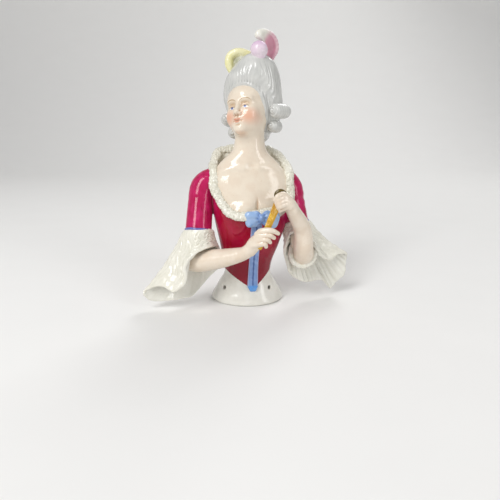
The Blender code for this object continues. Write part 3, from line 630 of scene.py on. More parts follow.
# Each touch of the brush, in order: its centre, half sizes and softness, the lift of an arched stroke, its
# colour and strength
FACE_TOUCHES = {
    "cheeks": ((4.6, -8.2, -3.6), (3.0, 6.0, 2.7), 0.85, 0, "#e2916c", 0.60),
    # Painted shade on the lids under the brows
    "painted_shade_on_lids": ((3.1, -9.2, 1.9), (2.3, 4.0, 1.5), 0.6, 0, "#cdb08c", 0.50),
    # Painted shade in the nostrils
    "nostrils": ((0.62, -12.0, -3.4), (0.42, 1.0, 0.34), 0.4, 0, "#a9744f", 0.8),
    "eye_whites": ((3.25, -9.4, 0.50), (1.35, 2.5, 0.50), 0.16, 0, "#ece6da", 1.0),
    "irises": ((3.20, -9.4, 0.62), (0.62, 2.5, 0.56), 0.18, 0, "#7f93cc", 1.0),
    "pupils": ((3.20, -9.4, 0.72), (0.27, 2.5, 0.27), 0.3, 0, "#2c3350", 1.0),
    "lash_lines": ((3.2, -9.4, 0.52), (1.62, 3.0, 0.74), 0.10, 0.26, "#7c5b40", 0.95),
    "brows": ((3.3, -9.4, 2.9), (2.45, 4.0, 1.35), 0.14, 0.42, "#a07d4c", 0.85),
    "upper_lip": ((0.7, -11.0, -5.0), (0.95, 1.6, 0.40), 0.35, 0, "#cd7a5c", 0.8),
    "lower_lip": ((0, -11.0, -6.05), (1.15, 1.6, 0.44), 0.35, 0, "#d3886a", 0.8),
    "mouth_line": ((0, -11.4, -5.55), (1.6, 1.6, 0.11), 0.5, 0, "#a0573f", 0.8),
    # Painted shade under the chin
    "painted_shade_under_chin": ((0, -9.0, -10.8), (2.6, 3.0, 1.2), 0.7, 0, "#d9a181", 0.35),
}
for centre, half_sizes, soft, lift, colour, strength in FACE_TOUCHES.values():
    touch = arc(centre, half_sizes, soft, lift) if lift else dab(centre, half_sizes, soft)
    face_paint.lay(touch, colour, strength)
piece("figure_skin", *skin_over(skin_gap, (-20, -21, 38.5), (25, 12, 106), 0.325), face_paint.material)


# Bodice and sleeves: a tight dress modelled over the body in crimson, drawn in at the waist and cut in a
# point in front. The painter laid the crimson on in broad strokes, so it runs from red to magenta.
SLEEVE_LINES = {
    "low": [(-8.5, -4.2, 58.5), (-14.8, -4.0, 60.2), (-20.2, -5.6, 57.2), (-21.6, -8.0, 49.5),
            (-22.4, -12.0, 38.3)],
    "high": [(9.5, -1.0, 58.0), (16.8, 0.0, 59.4), (20.6, -0.4, 56.0), (21.8, -1.0, 49.8),
             (23.6, -2.0, 40.0)],
}
SLEEVE_SIZES = (5.0, 5.7, 5.9, 5.85, 6.1)
# How deep the elbow's creases are, how thick the dress is, and where its front point lies and ends
CREASES = {"low": 0.03, "high": 0.12}
DRESS_THICKNESS = 0.28
POINT_X = 3.0
WAIST_EDGE = 16.6
POINT_DROP = 8.4
# The edge of the low neck, as steps from the middle of the chest, from the front round by the high hand
RUCHE_STEPS = [
    (-5.2, -11.7, -8.5), (4.8, -13.2, -7.0), (12.8, -10.2, -5.0), (18.3, -3.2, -1.0),
    (16.6, -0.7, 5.5), (16.6, 4.8, 11.0), (13.3, 8.8, 16.5), (6.8, 10.8, 19.5),
    (-0.7, 11.8, 20.0), (-8.2, 10.8, 20.0), (-13.7, 9.8, 19.0), (-16.2, 7.8, 18.0),
    (-18.0, -0.2, 10.5), (-16.4, -5.0, 4.0), (-14.2, -8.0, -1.5), (-10.7, -9.2, -6.0),
]
chest_middle = on_body(CHEST_HEIGHT, 0.0, reach=0.0)
ruche_line = smooth_line(chest_middle + np.array(RUCHE_STEPS), 12, closed=True)
toward = np.column_stack([chest_middle[:2] - ruche_line[:, :2], np.zeros(len(ruche_line))])
toward /= np.linalg.norm(toward, axis=1)[:, None]
# The collar's foot lies under the ruche in front and well below it at the back
RUCHE_LOW, RUCHE_HIGH = 43.0, 74.5
rising = np.clip((ruche_line[:, 2] - RUCHE_LOW) / (RUCHE_HIGH - RUCHE_LOW), 0.0, 1.0)[:, None]
collar_foot = ruche_line + toward * (1.6 + 2.4 * rising) - np.array((0, 0, 1.0)) * (3.0 + 10.0 * rising)
round_neck = np.arctan2(ruche_line[:, 0] - chest_middle[0], chest_middle[1] - ruche_line[:, 1])
order = np.argsort(round_neck)
behind = np.clip((ruche_line[:, 1] - chest_middle[1] + 6.0) / 8.0, 0.0, 1.0)
neck_edge = (ruche_line[:, 2] - 1.2) * (1 - behind) + (collar_foot[:, 2] + 0.4) * behind


def dress_gap(points):
    form = torso_gap(points) - DRESS_THICKNESS
    sides = (points - chest_middle) @ BODY_AXES
    angle = np.arctan2(sides[:, 0], -sides[:, 1])
    from_point = points[:, 0] - POINT_X
    slant = np.where(from_point < 0, -from_point / 13.0, from_point / 9.0)
    front_share = np.clip(1 - slant, 0, 1) * (points[:, 1] < -2.2)
    point_edge = WAIST_EDGE - POINT_DROP * front_share - 2.6 * np.clip(np.abs(angle) - 2.1, 0, 1)
    form = carve(form, 0.75 * (points[:, 2] - point_edge), 0.3)
    facing = np.arctan2(points[:, 0] - chest_middle[0], chest_middle[1] - points[:, 1])
    edge = np.interp(facing, round_neck[order], neck_edge[order], period=2 * pi)
    form = carve(form, edge - points[:, 2], 0.4)
    # The lower edge of each breast and the gathers that run from it to the waist
    below = np.clip((points[:, 2] - 18.0) / 20.0, 0.0, 1.0)
    form += 0.06 * np.sin(angle * 13.0 + 2.0 * np.sin(points[:, 2] * 0.13)) * below * (1.0 - below) * 4.0
    for side in (-1, 1):
        middle = on_body(43.6, side * 33.0, 0.6)
        around = np.abs(np.linalg.norm((points - middle) / (1.0, 1.0, 1.15), axis=1) - 5.9)
        lower = np.clip((middle[2] - points[:, 2]) / 3.0, 0.0, 1.0)
        form -= 0.26 * np.exp(-((around / 0.7) ** 2)) * lower * (points[:, 1] < middle[1] + 1.0)
    for key, line in SLEEVE_LINES.items():
        sleeve = limb(points, line, SLEEVE_SIZES)
        end = np.asarray(line[-1], float)
        fall = end - np.asarray(line[-2], float)
        fall /= np.linalg.norm(fall)
        bend = np.asarray(line[3], float)
        across = (points - bend) @ fall
        side = (points - bend) @ np.cross(fall, (0.0, -1.0, 0.0))
        creases = np.sin(across * 1.5 + 1.1 * np.sin(side * 0.45)) * np.exp(-((across + 1.0) / 6.0) ** 2)
        sleeve = sleeve - CREASES[key] * creases
        sleeve = np.maximum(sleeve, (points - end) @ fall - 0.6)
        form = meld(form, sleeve, 1.3)
    return carve(form, body_hollow(points), 0.4)


crimson = Glazed("crimson_paint", "#b0174c", "#c22262", "#6d0b20", ripple=0.05, gather=0.02)
strokes = crimson.clouds(0.35, 4.0, (1.6, 1.6, 0.22))
crimson.lay(crimson.eased(strokes, 0.52, 0.75), "#d43a78", 0.55)
crimson.lay(crimson.eased(strokes, 0.45, 0.25), "#8c1030", 0.65)
crimson_height = crimson.node("SeparateXYZ")
crimson.feed(crimson_height.inputs[0], crimson.place)
middle_share = crimson.eased(crimson.sums("ABSOLUTE", crimson_height.outputs[0]), 17.5, 12.0)
crimson.shader.inputs["IOR"].default_value = 1.42
crimson.lay(middle_share, "#a00b1e", 0.75)
# Painted shade: the middle of the bodice darkens towards the waist
lower_painted_shade = crimson.eased(crimson_height.outputs[2], 36.0, 20.0)
crimson.lay(crimson.sums("MULTIPLY", middle_share, lower_painted_shade), "#74081c", 0.7)
piece("dress", *skin_over(dress_gap, (-31, -22, 7), (34, 13, 75), 0.4), crimson.material)


# Hair: powdered hair combed up from the face over a high pad and drawn together at the crown, in a pale
# grey wash that the comb lines catch. It is modelled on the head with a comb and a wire tool.
# The pad's rows are in the head's own axes, and hold what the body's rows hold.
HAIR_ROWS = [
    (-7.5, 5.4, 4.5, 0.0, 9.4, 0.0), (-5.0, 8.8, 6.4, 0.0, 8.6, 0.0), (0.0, 12.1, 8.9, 0.0, 7.4, 0.0),
    (5.0, 13.7, 10.7, 0.0, 6.0, 0.0), (10.0, 13.8, 11.6, 0.2, 3.8, 0.0), (15.5, 12.7, 11.9, 1.2, 2.6, 0.0),
    (20.4, 10.4, 10.0, 2.7, 1.8, 0.0), (24.1, 6.9, 7.1, 3.9, 1.0, 0.0), (26.8, 2.7, 2.5, 3.8, 0.4, 0.0),
]
hair_table = smooth_rows(HAIR_ROWS, np.arange(-7.5, 27.0, 0.2))


def comb(angle, height):
    """Comb lines: waves across the run of the hair that split and join."""
    sway = angle + 0.10 * np.sin(height * 0.23 + 1.3) + 0.05 * np.sin(height * 0.5 + angle * 5.0)
    coarse = np.sin(sway * 17.0 + 1.2 * np.sin(height * 0.21 + angle * 3.0))
    fine = np.sin(sway * 46.0 + 1.7 * np.sin(height * 0.33 + angle * 7.0))
    return 0.05 * coarse + 0.05 * fine


def hair_gap(points):
    local = (points - HEAD_PLACE) @ HEAD_AXES
    form = row_gap(local, hair_table)
    form = carve(form, 26.4 - local[:, 2], 2.6)
    form = carve(form, local[:, 2] + 7.2, 2.0)
    form = meld(form, egg(local, (1.6, 7.6, -7.6), (5.2, 3.6, 3.9)), 2.0)
    # The hair starts along a line that runs from the forehead back over each temple
    hairline = (local[:, 2] + 1.65 * local[:, 1] + 2.4) / 1.93
    form = meld(form, carve(head_gap(local) - 0.55, hairline, 0.9), 1.4)
    x = local[:, 0] - np.interp(local[:, 2], hair_table[:, 0], hair_table[:, 3])
    y = local[:, 1] - np.interp(local[:, 2], hair_table[:, 0], hair_table[:, 4])
    angle = np.arctan2(x, -y)
    full = np.clip((26.5 - local[:, 2]) / 9.0, 0.25, 1.0)
    # Two long waves lift the hair off each temple
    wave = np.sin((local[:, 2] - 3.0) * 0.42 + np.abs(angle) * 1.9)
    at_sides = np.clip(np.abs(angle) * 1.6 - 0.4, 0, 1)
    return form - (comb(angle, local[:, 2]) + 0.12 * wave * at_sides) * full


hair_paint = Glazed("hair_paint", "#d4d4d0", "#c7c7c4", "#8f8f8c", ripple=0.06, gather=0.022)
hair_paint.lay(hair_paint.eased(hair_paint.clouds(0.10), 0.42, 0.66), "#bcbdb9", 0.6)
piece("hair", *skin_over(hair_gap, (-14, -17, 75), (19, 18, 119), 0.28), hair_paint.material)


# Side curls: strips of clay in the hair's own colour, rolled into four short tubes with open spiral ends
# and stuck on with slip, two each side below the ears. Each row holds a start, an end and a radius.
CURLS = [
    ((12.0, 3.0, 0.5), (13.8, 9.0, 1.5), 3.35), ((8.8, 6.2, -5.0), (9.3, 10.6, -4.4), 2.9),
    ((-12.4, 1.2, 0.2), (-13.8, 8.0, 1.0), 2.9), ((-10.4, 3.6, -5.6), (-11.2, 9.0, -5.0), 2.8),
]


def curls_gap(points):
    local = (points - HEAD_PLACE) @ HEAD_AXES
    form = np.full(len(points), 1e3)
    for start, end, size in CURLS:
        start, end = np.array(start), np.array(end)
        run = (end - start) / np.linalg.norm(end - start)
        over = np.cross(run, (1.0, 0.0, 0.0))
        over /= np.linalg.norm(over)
        along = (local - (start + end) / 2) @ run
        away = local - (start + end) / 2 - along[:, None] * run
        reach = np.linalg.norm(away, axis=1)
        turn = np.arctan2(away @ over, away @ np.cross(run, over))
        roll = reach - size * 0.97 - 0.06 * np.cos(along * 4.2 + turn) - 0.03 * np.cos(along * 9.0)
        ends = np.abs(along) - np.linalg.norm(end - start) / 2 - size * 0.9
        ends += 0.15 * np.cos(2 * pi * reach / 1.35 - turn) * np.clip(reach / 0.8, 0, 1)
        form = meld(form, carve(roll, -ends, 4.2), 0.6)
    return form


piece("curls", *skin_over(curls_gap, (-17, -12, 75), (20, 16, 100), 0.24), hair_paint.material)


# Plumes: a long feather that curls over in pink with a white tip, a round lilac feather tuft before it,
# and a yellow feather bent round a hollow, in which painted shade lies grey-green. Each is a slip of clay
# pressed on at the crown.
PINK_LINE = [
    (7.9, 5.0, 23.8), (8.9, 4.8, 26.8), (10.3, 3.9, 29.3), (10.7, 0.8, 31.3), (9.8, -3.1, 32.2),
    (7.6, -6.6, 31.4),
]
PINK_WIDTHS = (1.9, 2.8, 3.4, 3.4, 2.6, 1.8)
PINK_SIDES = 40
TUFT_PLACE = np.array((8.3, -4.8, 25.4))
YELLOW_LINE = [
    (-6.4, -3.4, 19.6), (-7.0, -4.6, 22.8), (-6.0, -5.0, 25.8), (-3.3, -4.4, 27.2), (-0.6, -3.2, 27.2),
    (2.0, -1.8, 26.4),
]
YELLOW_SIZES = (1.4, 1.8, 1.85, 1.75, 1.5, 1.2)


def loft_faces(rows, columns, closed=True):
    """The faces between rows of points; each row a closed ring, or an open line."""
    faces = []
    for i in range(rows - 1):
        for j in range(columns if closed else columns - 1):
            k = (j + 1) % columns
            faces.append((i * columns + j, i * columns + k, (i + 1) * columns + k, (i + 1) * columns + j))
    return faces


pink_knots = smooth_line(np.column_stack([PINK_LINE, PINK_WIDTHS]), 14)
pink_spine = pink_knots[:, :3] @ HEAD_AXES.T + HEAD_PLACE
pink_points, pink_hollow, pink_tip = [], [], []
pink_runs = np.gradient(pink_spine, axis=0)
for i, (spot, run, width) in enumerate(zip(pink_spine, pink_runs, pink_knots[:, 3])):
    share = i / (len(pink_spine) - 1)
    run = run / np.linalg.norm(run)
    side = np.cross(run, (0.0, -1.0, 0.0))
    side /= np.linalg.norm(side)
    out = np.cross(side, run)
    out *= -np.sign(out[1])
    plump = 1.15 + 0.75 * np.clip((share - 0.75) / 0.25, 0, 1)
    end_round = np.sqrt(np.clip(1 - np.clip((share - 0.90) / 0.105, 0, 1) ** 2, 0.0, 1))
    open_share = 1 - np.clip((share - 0.68) / 0.2, 0, 1)
    for turn in np.arange(PINK_SIDES) * 2 * pi / PINK_SIDES:
        flat = cos(turn)
        dip = 1.25 * np.exp(-((flat / 0.62) ** 4)) * (sin(turn) > 0) * sin(turn) * open_share
        barbs = 0.018 * sin(share * 95 + 3.0 * abs(flat))
        reach = width * flat * end_round * (1 + barbs * 0.5)
        rise = plump * sin(turn) - dip + barbs * abs(flat)
        pink_points.append(spot + side * reach + out * end_round * rise)
        pink_hollow.append(np.clip(dip * 1.15, 0, 1))
        pink_tip.append(share)
pink_faces = loft_faces(len(pink_spine), PINK_SIDES)
pink_points += [pink_spine[0], pink_spine[-1]]
pink_hollow += [0.0, 0.0]
pink_tip += [0.0, 1.0]
last = (len(pink_spine) - 1) * PINK_SIDES
pink_faces += [(len(pink_points) - 2, (j + 1) % PINK_SIDES, j) for j in range(PINK_SIDES)]
pink_faces += [(len(pink_points) - 1, last + j, last + (j + 1) % PINK_SIDES) for j in range(PINK_SIDES)]
pink_feather = Glazed("pink_feather_paint", "#ebc6cf", "#eed2d8", "#c88ea0", gather=0.04)
# Painted shade: the groove of the curl is laid a deeper pink over the feather's own pink
pink_feather.lay(pink_feather.eased(pink_feather.mark("hollow"), 0.1, 0.8), "#d590a6", 0.85)
pink_feather.lay(pink_feather.eased(pink_feather.mark("tip"), 0.62, 0.80), "#e9e7dd")
piece("pink_plume", pink_points, pink_faces, pink_feather.material, hollow=pink_hollow, tip=pink_tip)


def tuft_gap(points):
    local = (points - HEAD_PLACE) @ HEAD_AXES - TUFT_PLACE
    turn = np.arctan2(local[:, 0] + 0.6, local[:, 2] + 1.0)
    from_axis = np.clip((local[:, 0] ** 2 + local[:, 2] ** 2) / 6.0, 0, 1)
    curl = 0.035 * np.sin(turn * 15.0 + local[:, 1] * 0.8) * from_axis
    form = egg(local, (0, 0, 0), (3.85, 3.75, 3.75)) - curl
    return meld(form, egg(local, (-0.4, 0.9, -3.2), (2.6, 2.4, 1.9)), 1.0)


lilac_feather = Glazed("lilac_feather_paint", "#e4d6de", "#dfcadb", "#b8a4b4", gather=0.02)
tuft_middle = HEAD_AXES @ TUFT_PLACE + HEAD_PLACE
tuft_points, tuft_faces = skin_over(tuft_gap, tuft_middle - 7.0, tuft_middle + 7.0, 0.22)
lilac_feather.lay(lilac_feather.eased(lilac_feather.mark("top"), 0.3, 3.2), "#d6b2d3", 0.7)
piece("lilac_tuft", tuft_points, tuft_faces, lilac_feather.material, top=tuft_points[:, 2] - tuft_middle[2])


def yellow_gap(points):
    local = (points - HEAD_PLACE) @ HEAD_AXES
    rim = limb(local, YELLOW_LINE, YELLOW_SIZES, 6)
    form = meld(rim, egg(local, (-3.0, -2.4, 24.0), (4.4, 1.7, 3.6)), 1.2)
    spread = np.arctan2(local[:, 0] + 2.6, local[:, 2] - 22.5)
    return form + 0.03 * np.sin(spread * 26.0) * (np.abs(rim) < 3.0)


yellow_feather = Glazed("yellow_feather_paint", "#eeeac2", "#e6e1a4", "#b4b194", gather=0.04)
yellow_middle = HEAD_AXES @ np.array((-2.8, -3.0, 23.8)) + HEAD_PLACE
yellow_points, yellow_faces = skin_over(yellow_gap, yellow_middle - 9.0, yellow_middle + 9.0, 0.24)
rim_reach = limb((yellow_points - HEAD_PLACE) @ HEAD_AXES, YELLOW_LINE, YELLOW_SIZES, 6)
# Painted shade: the hollow inside the rim is laid grey-green
yellow_feather.lay(yellow_feather.eased(yellow_feather.mark("inner"), 0.05, 0.9), "#abac99", 0.9)
piece("yellow_plume", yellow_points, yellow_faces, yellow_feather.material, inner=rim_reach)


# Sleeve frills: two thin shells of slip-dipped lace that hang open from the elbows, their hems thrown
# into folds. Above them a narrow blue-violet line closes each sleeve. The hems are steps from the cuff.
LOW_HEM = [
    (9.0, 0.0, -8.0), (5.6, -5.2, -6.8), (0.6, -9.7, -7.8), (-3.4, -11.7, -11.3),
    (-5.4, -12.2, -16.3), (-6.8, -12.2, -22.8), (-10.8, -11.2, -26.3), (-16.3, -8.7, -24.3),
    (-25.8, -5.7, -27.8), (-24.3, -4.7, -32.3), (-18.3, -4.2, -33.6), (-11.0, -3.0, -33.0),
    (-4.5, -0.7, -32.4), (-0.4, 1.0, -28.6), (4.0, 2.6, -23.8), (9.6, 3.4, -17.8),
]
HIGH_HEM = [
    (26.9, 6.0, -19.5), (21.4, 2.0, -17.5), (16.4, -1.5, -18.5), (10.9, -6.0, -13.5),
    (6.9, -7.0, -6.5), (1.9, -7.5, -3.5), (-2.1, -6.5, -3.5), (-4.1, -5.0, -6.5),
    (-4.6, -4.0, -12.5), (-3.6, -4.0, -19.0), (-1.6, -3.5, -26.0), (2.9, -2.0, -29.5),
    (7.9, 1.0, -30.5), (14.9, 3.0, -31.5), (18.9, 3.5, -35.0), (24.9, 4.5, -29.5),
]
FRILL_ROWS = 44
# The arm each frill is on, its hem, its folds, the depth of the rays inside it and of the lobes of its hem
FRILLS = (("low", LOW_HEM, 23, 0.03, 0.15), ("high", HIGH_HEM, 21, 0.30, 0.5))
SLEEVE_MOUTH = 5.0
LINE_RADIUS = 6.15
LINE_SIDES = 8

lace_glaze = Glazed("lace_glaze", "#f3f0e5", "#ebe8da", "#c0b99f", smoothest=0.06, dullest=0.13,
                    ripple=0.08, gather=0.06)
lace_eyes = lace_glaze.node("TexVoronoi")
lace_glaze.feed(lace_eyes.inputs["Vector"], lace_glaze.place)
lace_eyes.inputs["Scale"].default_value = 1.5
lace_pits_and_shade = lace_glaze.eased(lace_eyes.outputs["Distance"], 0.05, 0.55)
# Painted shade: the pits of the lace's relief are laid a little greyer
lace_glaze.lay(lace_pits_and_shade, "#d6d4c4", 0.20)
lace_glaze.feed(lace_glaze.bump.inputs["Height"], lace_glaze.sums("SUBTRACT", lace_glaze.height, lace_pits_and_shade))
# Painted shade: the inner face of each frill is laid greyer than the outer
lace_glaze.lay(lace_glaze.mark("lining"), "#dfdfda", 0.40)

blue_line = Glazed("blue_line_paint", "#8d8fd0", "#7f86c4", "#5d5fa6")
random = np.random.default_rng(7)
for key, hem, folds, ray_depth, lobe_depth in FRILLS:
    cuff = np.array(SLEEVE_LINES[key][-1])
    edge = smooth_line(cuff + np.array(hem), 20, closed=True)
    columns = len(edge)
    around = np.arange(columns) * 2 * pi / columns
    fall_way = cuff - np.array(SLEEVE_LINES[key][3])
    fall_way /= np.linalg.norm(fall_way)
    spread = np.column_stack([np.cos(around), -np.sin(around), np.zeros(columns)])
    spread -= (spread @ fall_way)[:, None] * fall_way
    spread /= np.linalg.norm(spread, axis=1)[:, None]
    top = cuff + spread * SLEEVE_MOUTH - fall_way * 0.3
    down_share = (np.arange(FRILL_ROWS + 1) / FRILL_ROWS)[:, None, None]
    flare = np.concatenate([down_share**1.28, down_share**1.28, down_share], 2)
    sheet = top[None] + (edge - top)[None] * flare
    # The lace puffs out where the sleeve holds it
    sheet = sheet + (spread * 1.7)[None] * (1 - np.exp(-((down_share / 0.07) ** 2))) * (1 - down_share) ** 2
    # Folds run from the cuff to the hem; they wander, and they deepen on the way down
    run_out = np.concatenate([np.zeros(1), np.cumsum(np.linalg.norm(np.diff(edge, axis=0), axis=1))])
    length = run_out / (run_out[-1] + np.linalg.norm(edge[0] - edge[-1]))
    wander = 0.5 * np.sin(2 * pi * 3 * length + folds) + 0.35 * np.sin(2 * pi * 7 * length + 1.0)
    share = down_share[:, :, 0]
    folding = np.sin(2 * pi * folds * length[None] + wander[None] * 2.0 + 0.9 * share)
    deep = 0.10 * share**1.4 * (0.65 + 0.35 * np.sin(2 * pi * 5 * length + 2.0))[None]
    ruffle = 0.03 * np.sin(2 * pi * folds * 3 * length[None] + 9 * share) * np.clip(share * 4 - 3, 0, 1)
    # Soft flowers and leaves stand out of the lace, blurred by the slip it was dipped in
    swirl = 13 * length[None] + 0.45 * np.sin(2 * pi * 2.1 * share + 11 * length[None])
    drop = 3.2 * share + 0.32 * np.sin(2 * pi * 9 * length[None] + folds)
    petals = 0.24 * np.sin(2 * pi * swirl) * np.cos(2 * pi * drop)
    petals += 0.08 * np.sin(2 * pi * 2.3 * swirl + 1.7) * np.cos(2 * pi * 2.1 * drop + 0.4)
    petals *= np.clip(share * 5, 0, 1) * np.clip((1.0 - share) * 7, 0, 1)
    rays = ray_depth * np.sin(2 * pi * folds * 1.5 * length[None] + wander[None] * 4)
    rays = rays * np.clip(share * 2.5 - 1.2, 0, 1)
    # The hem was thrown into soft waves while the slip was wet
    hem_waves = np.sin(2 * pi * 6 * length + 1.6 * np.sin(2 * pi * 2 * length + folds))
    hem_waves = hem_waves * (0.7 + 0.3 * np.sin(2 * pi * 5 * length))
    sheet_lift = 0.9 * hem_waves[None] * np.clip((share - 0.45) / 0.55, 0, 1) ** 1.4
    grains = random.normal(0, 0.02, share.shape[:1] + length.shape)
    down = np.gradient(sheet, axis=0)
    round_way = np.roll(sheet, -1, axis=1) - np.roll(sheet, 1, axis=1)
    normal = np.cross(round_way, down)
    normal /= np.linalg.norm(normal, axis=2)[:, :, None] + 1e-9
    away = sheet - cuff
    normal *= np.sign((normal * away).sum())
    thick = (0.62 - 0.06 * share + 0.26 * share**10)[:, :, None]
    relief = (folding * deep + ruffle + sheet_lift / 0.75)[:, :, None]
    grains = grains * np.clip(share * 3, 0, 1)
    outer = sheet + normal * (thick + relief * 0.75 + petals[:, :, None] + grains[:, :, None])
    inner = sheet - normal * (thick - relief * 0.75 - rays[:, :, None])
    scallop = 0.12 * np.abs(np.sin(pi * folds * 1.5 * length))
    scallop += lobe_depth * np.sin(2 * pi * 9 * length + 1.3 * np.sin(2 * pi * 2 * length + 0.6))
    scallop = scallop[:, None]
    fall = down[-1] / np.linalg.norm(down[-1], axis=1)[:, None]
    middle = (outer[-1] + inner[-1]) / 2
    lips = []
    for turn in pi * np.arange(1, 6) / 6:
        roll = fall * (0.8 * sin(turn) + scallop * sin(turn))
        lips.append(middle + (outer[-1] - middle) * cos(turn) + roll)
    shell = np.concatenate([outer, np.array(lips), inner[::-1]])
    faces = np.array(loft_faces(len(shell) + 1, columns)) % (len(shell) * columns)
    lining = np.concatenate([np.zeros(FRILL_ROWS + 3), np.full(3, 0.5), np.ones(FRILL_ROWS + 1)])
    piece(key + "_frill", shell.reshape(-1, 3), faces, lace_glaze.material, lining=np.repeat(lining, columns))
    # The painted line that closes the sleeve
    ring_points = []
    first = np.cross(fall_way, (0.0, 1.0, 0.0))
    first /= np.linalg.norm(first)
    second = np.cross(fall_way, first)
    for turn in around[::4]:
        out = first * cos(turn) + second * sin(turn)
        centre = cuff + out * LINE_RADIUS + fall_way * (0.45 + 0.08 * sin(5 * turn))
        for line_turn in np.arange(LINE_SIDES) * 2 * pi / LINE_SIDES:
            ring_points.append(centre + out * 0.36 * cos(line_turn) + fall_way * 0.55 * sin(line_turn))
    ring_faces = np.array(loft_faces(len(around[::4]) + 1, LINE_SIDES)) % len(ring_points)
    piece(key + "_sleeve_line", ring_points, ring_faces, blue_line.material)


# Elbow roll: the lining of the raised arm's frill, lace dipped in slip like the rest, is gathered into a
# puckered roll that hugs the elbow from below and holds the frill on the arm.
GATHER_LINE = [
    (21.9, -4.0, 29.2), (21.2, -8.0, 25.8), (22.4, -9.6, 21.8), (26.7, -9.8, 19.8),
    (31.1, -9.4, 21.8), (32.7, -7.8, 25.6), (32.3, -4.0, 29.2),
]
GATHER_SIZES = (0.8, 1.3, 1.45, 1.5, 1.45, 1.3, 0.8)
ELBOW_X, ELBOW_Z = 27.0, 26.0


def gather_gap(points):
    turn = np.arctan2(points[:, 2] - ELBOW_Z, points[:, 0] - ELBOW_X)
    roll = limb(points, GATHER_LINE, GATHER_SIZES, 5)
    return roll + 0.12 * np.sin(turn * 17.0 + 0.8 * np.sin(turn * 5.0))


piece("high_gather", *skin_over(gather_gap, (19, -12, 17), (35, 0, 32), 0.22), lace_glaze.material)


# Arms and hands: bare forearms and hands in flesh colour, modelled by hand, each with four fingers and a
# thumb closed on the fan. They were stuck to the sleeves with slip before firing.
FAN_FOOT = np.array((5.0, -27.2, 32.5))
FAN_HEAD = np.array((14.6, -21.8, 54.9))
# Each forearm runs from its sleeve's end round the elbow to the wrist
LOW_FOREARM = [
    SLEEVE_LINES["low"][-1], (-26.4, -13.6, 26.0), (-22.7, -15.7, 24.1), (-11.4, -19.8, 26.6),
    (-2.3, -23.4, 29.6), (0.5, -24.2, 31.2),
]
HIGH_FOREARM = [
    SLEEVE_LINES["high"][-1], (27.0, -6.2, 24.8), (26.8, -10.7, 28.8), (25.8, -12.6, 38.3),
    (21.2, -17.8, 47.2), (19.2, -19.6, 50.9),
]
LOW_SIZES = (4.4, 4.9, 5.2, 4.4, 3.2, 2.5)
HIGH_SIZES = (4.4, 4.9, 4.75, 4.2, 3.3, 2.5)
FINGERS = 4


def low_arm_gap(points):
    form = limb(points, LOW_FOREARM, LOW_SIZES, 5)
    palm = FAN_FOOT + np.array([(-4.0, 2.8, -0.8), (-1.6, 1.4, 3.0), (0.9, -0.2, 6.2)])
    form = meld(form, limb(points, palm, (2.6, 2.9, 2.2)), 1.6)
    form = meld(form, limb(points, palm + (1.4, -0.2, -0.4), (1.8, 2.3, 1.9)), 1.0)
    for k in range(FINGERS):
        knuckle = FAN_FOOT + (1.5 - 0.6 * k, -1.0, 8.9 - 1.95 * k)
        bend = knuckle + (4.1 - 0.4 * k, -1.1, 0.5)
        tip = bend + (2.9 - 0.7 * k, 1.1, -1.5)
        root = knuckle + (-2.0, 0.8, -1.5 + 0.3 * k)
        form = meld(form, limb(points, [root, knuckle, bend, tip], (1.25, 1.35, 1.16, 0.9)), 0.5)
    thumb = FAN_FOOT + np.array([(-1.0, 1.2, 5.0), (1.6, 2.4, 8.0), (3.6, 2.6, 8.6)])
    form = meld(form, limb(points, thumb, (1.45, 1.25, 1.0)), 0.8)
    # A dimple inside the elbow, and the bone at the wrist
    form = form + pressed(points, (-24.8, -18.6, 29.0), (3.0, 3.0, 1.2), 0.5)
    return form + pressed(points, (-2.0, -26.2, 32.2), (1.6, 1.6, 1.4), -0.35)


def high_arm_gap(points):
    form = limb(points, HIGH_FOREARM, HIGH_SIZES, 5)
    palm = FAN_HEAD + np.array([(4.9, 2.2, -4.6), (3.6, 1.2, -2.8), (2.2, 0.3, -1.0)])
    form = meld(form, limb(points, palm, (2.6, 2.95, 2.45)), 1.6)
    for k in range(FINGERS):
        knuckle = FAN_HEAD + (1.3 + 0.45 * k, -1.1, 1.4 - 1.45 * k)
        bend = knuckle + (-2.6, -1.5, -0.6)
        tip = bend + (-1.0, 0.5, -1.7 + 0.3 * k)
        root = knuckle + (1.7, 0.9, -1.5)
        form = meld(form, limb(points, [root, knuckle, bend, tip], (1.25, 1.25, 1.12, 0.9)), 0.5)
    thumb = FAN_HEAD + np.array([(3.8, 0.2, -3.6), (1.5, -0.9, -4.7), (-0.3, -1.5, -5.6)])
    form = meld(form, limb(points, thumb, (1.35, 1.2, 0.95)), 0.7)
    return form + pressed(points, (22.0, -21.8, 48.0), (1.6, 1.6, 1.4), -0.3)


skin_glaze = Glazed("skin_glaze", "#ecdfce", "#e5d5c1", "#bd9a78", ripple=0.06, gather=0.03)
skin_glaze.lay(skin_glaze.eased(skin_glaze.clouds(0.18), 0.55, 0.8), "#e6c8ac", 0.35)
piece("low_arm", *skin_over(low_arm_gap, (-33, -34, 16), (14, -5, 48), 0.25), skin_glaze.material)
piece("high_arm", *skin_over(high_arm_gap, (8, -28, 18), (34, 4, 62), 0.25), skin_glaze.material)


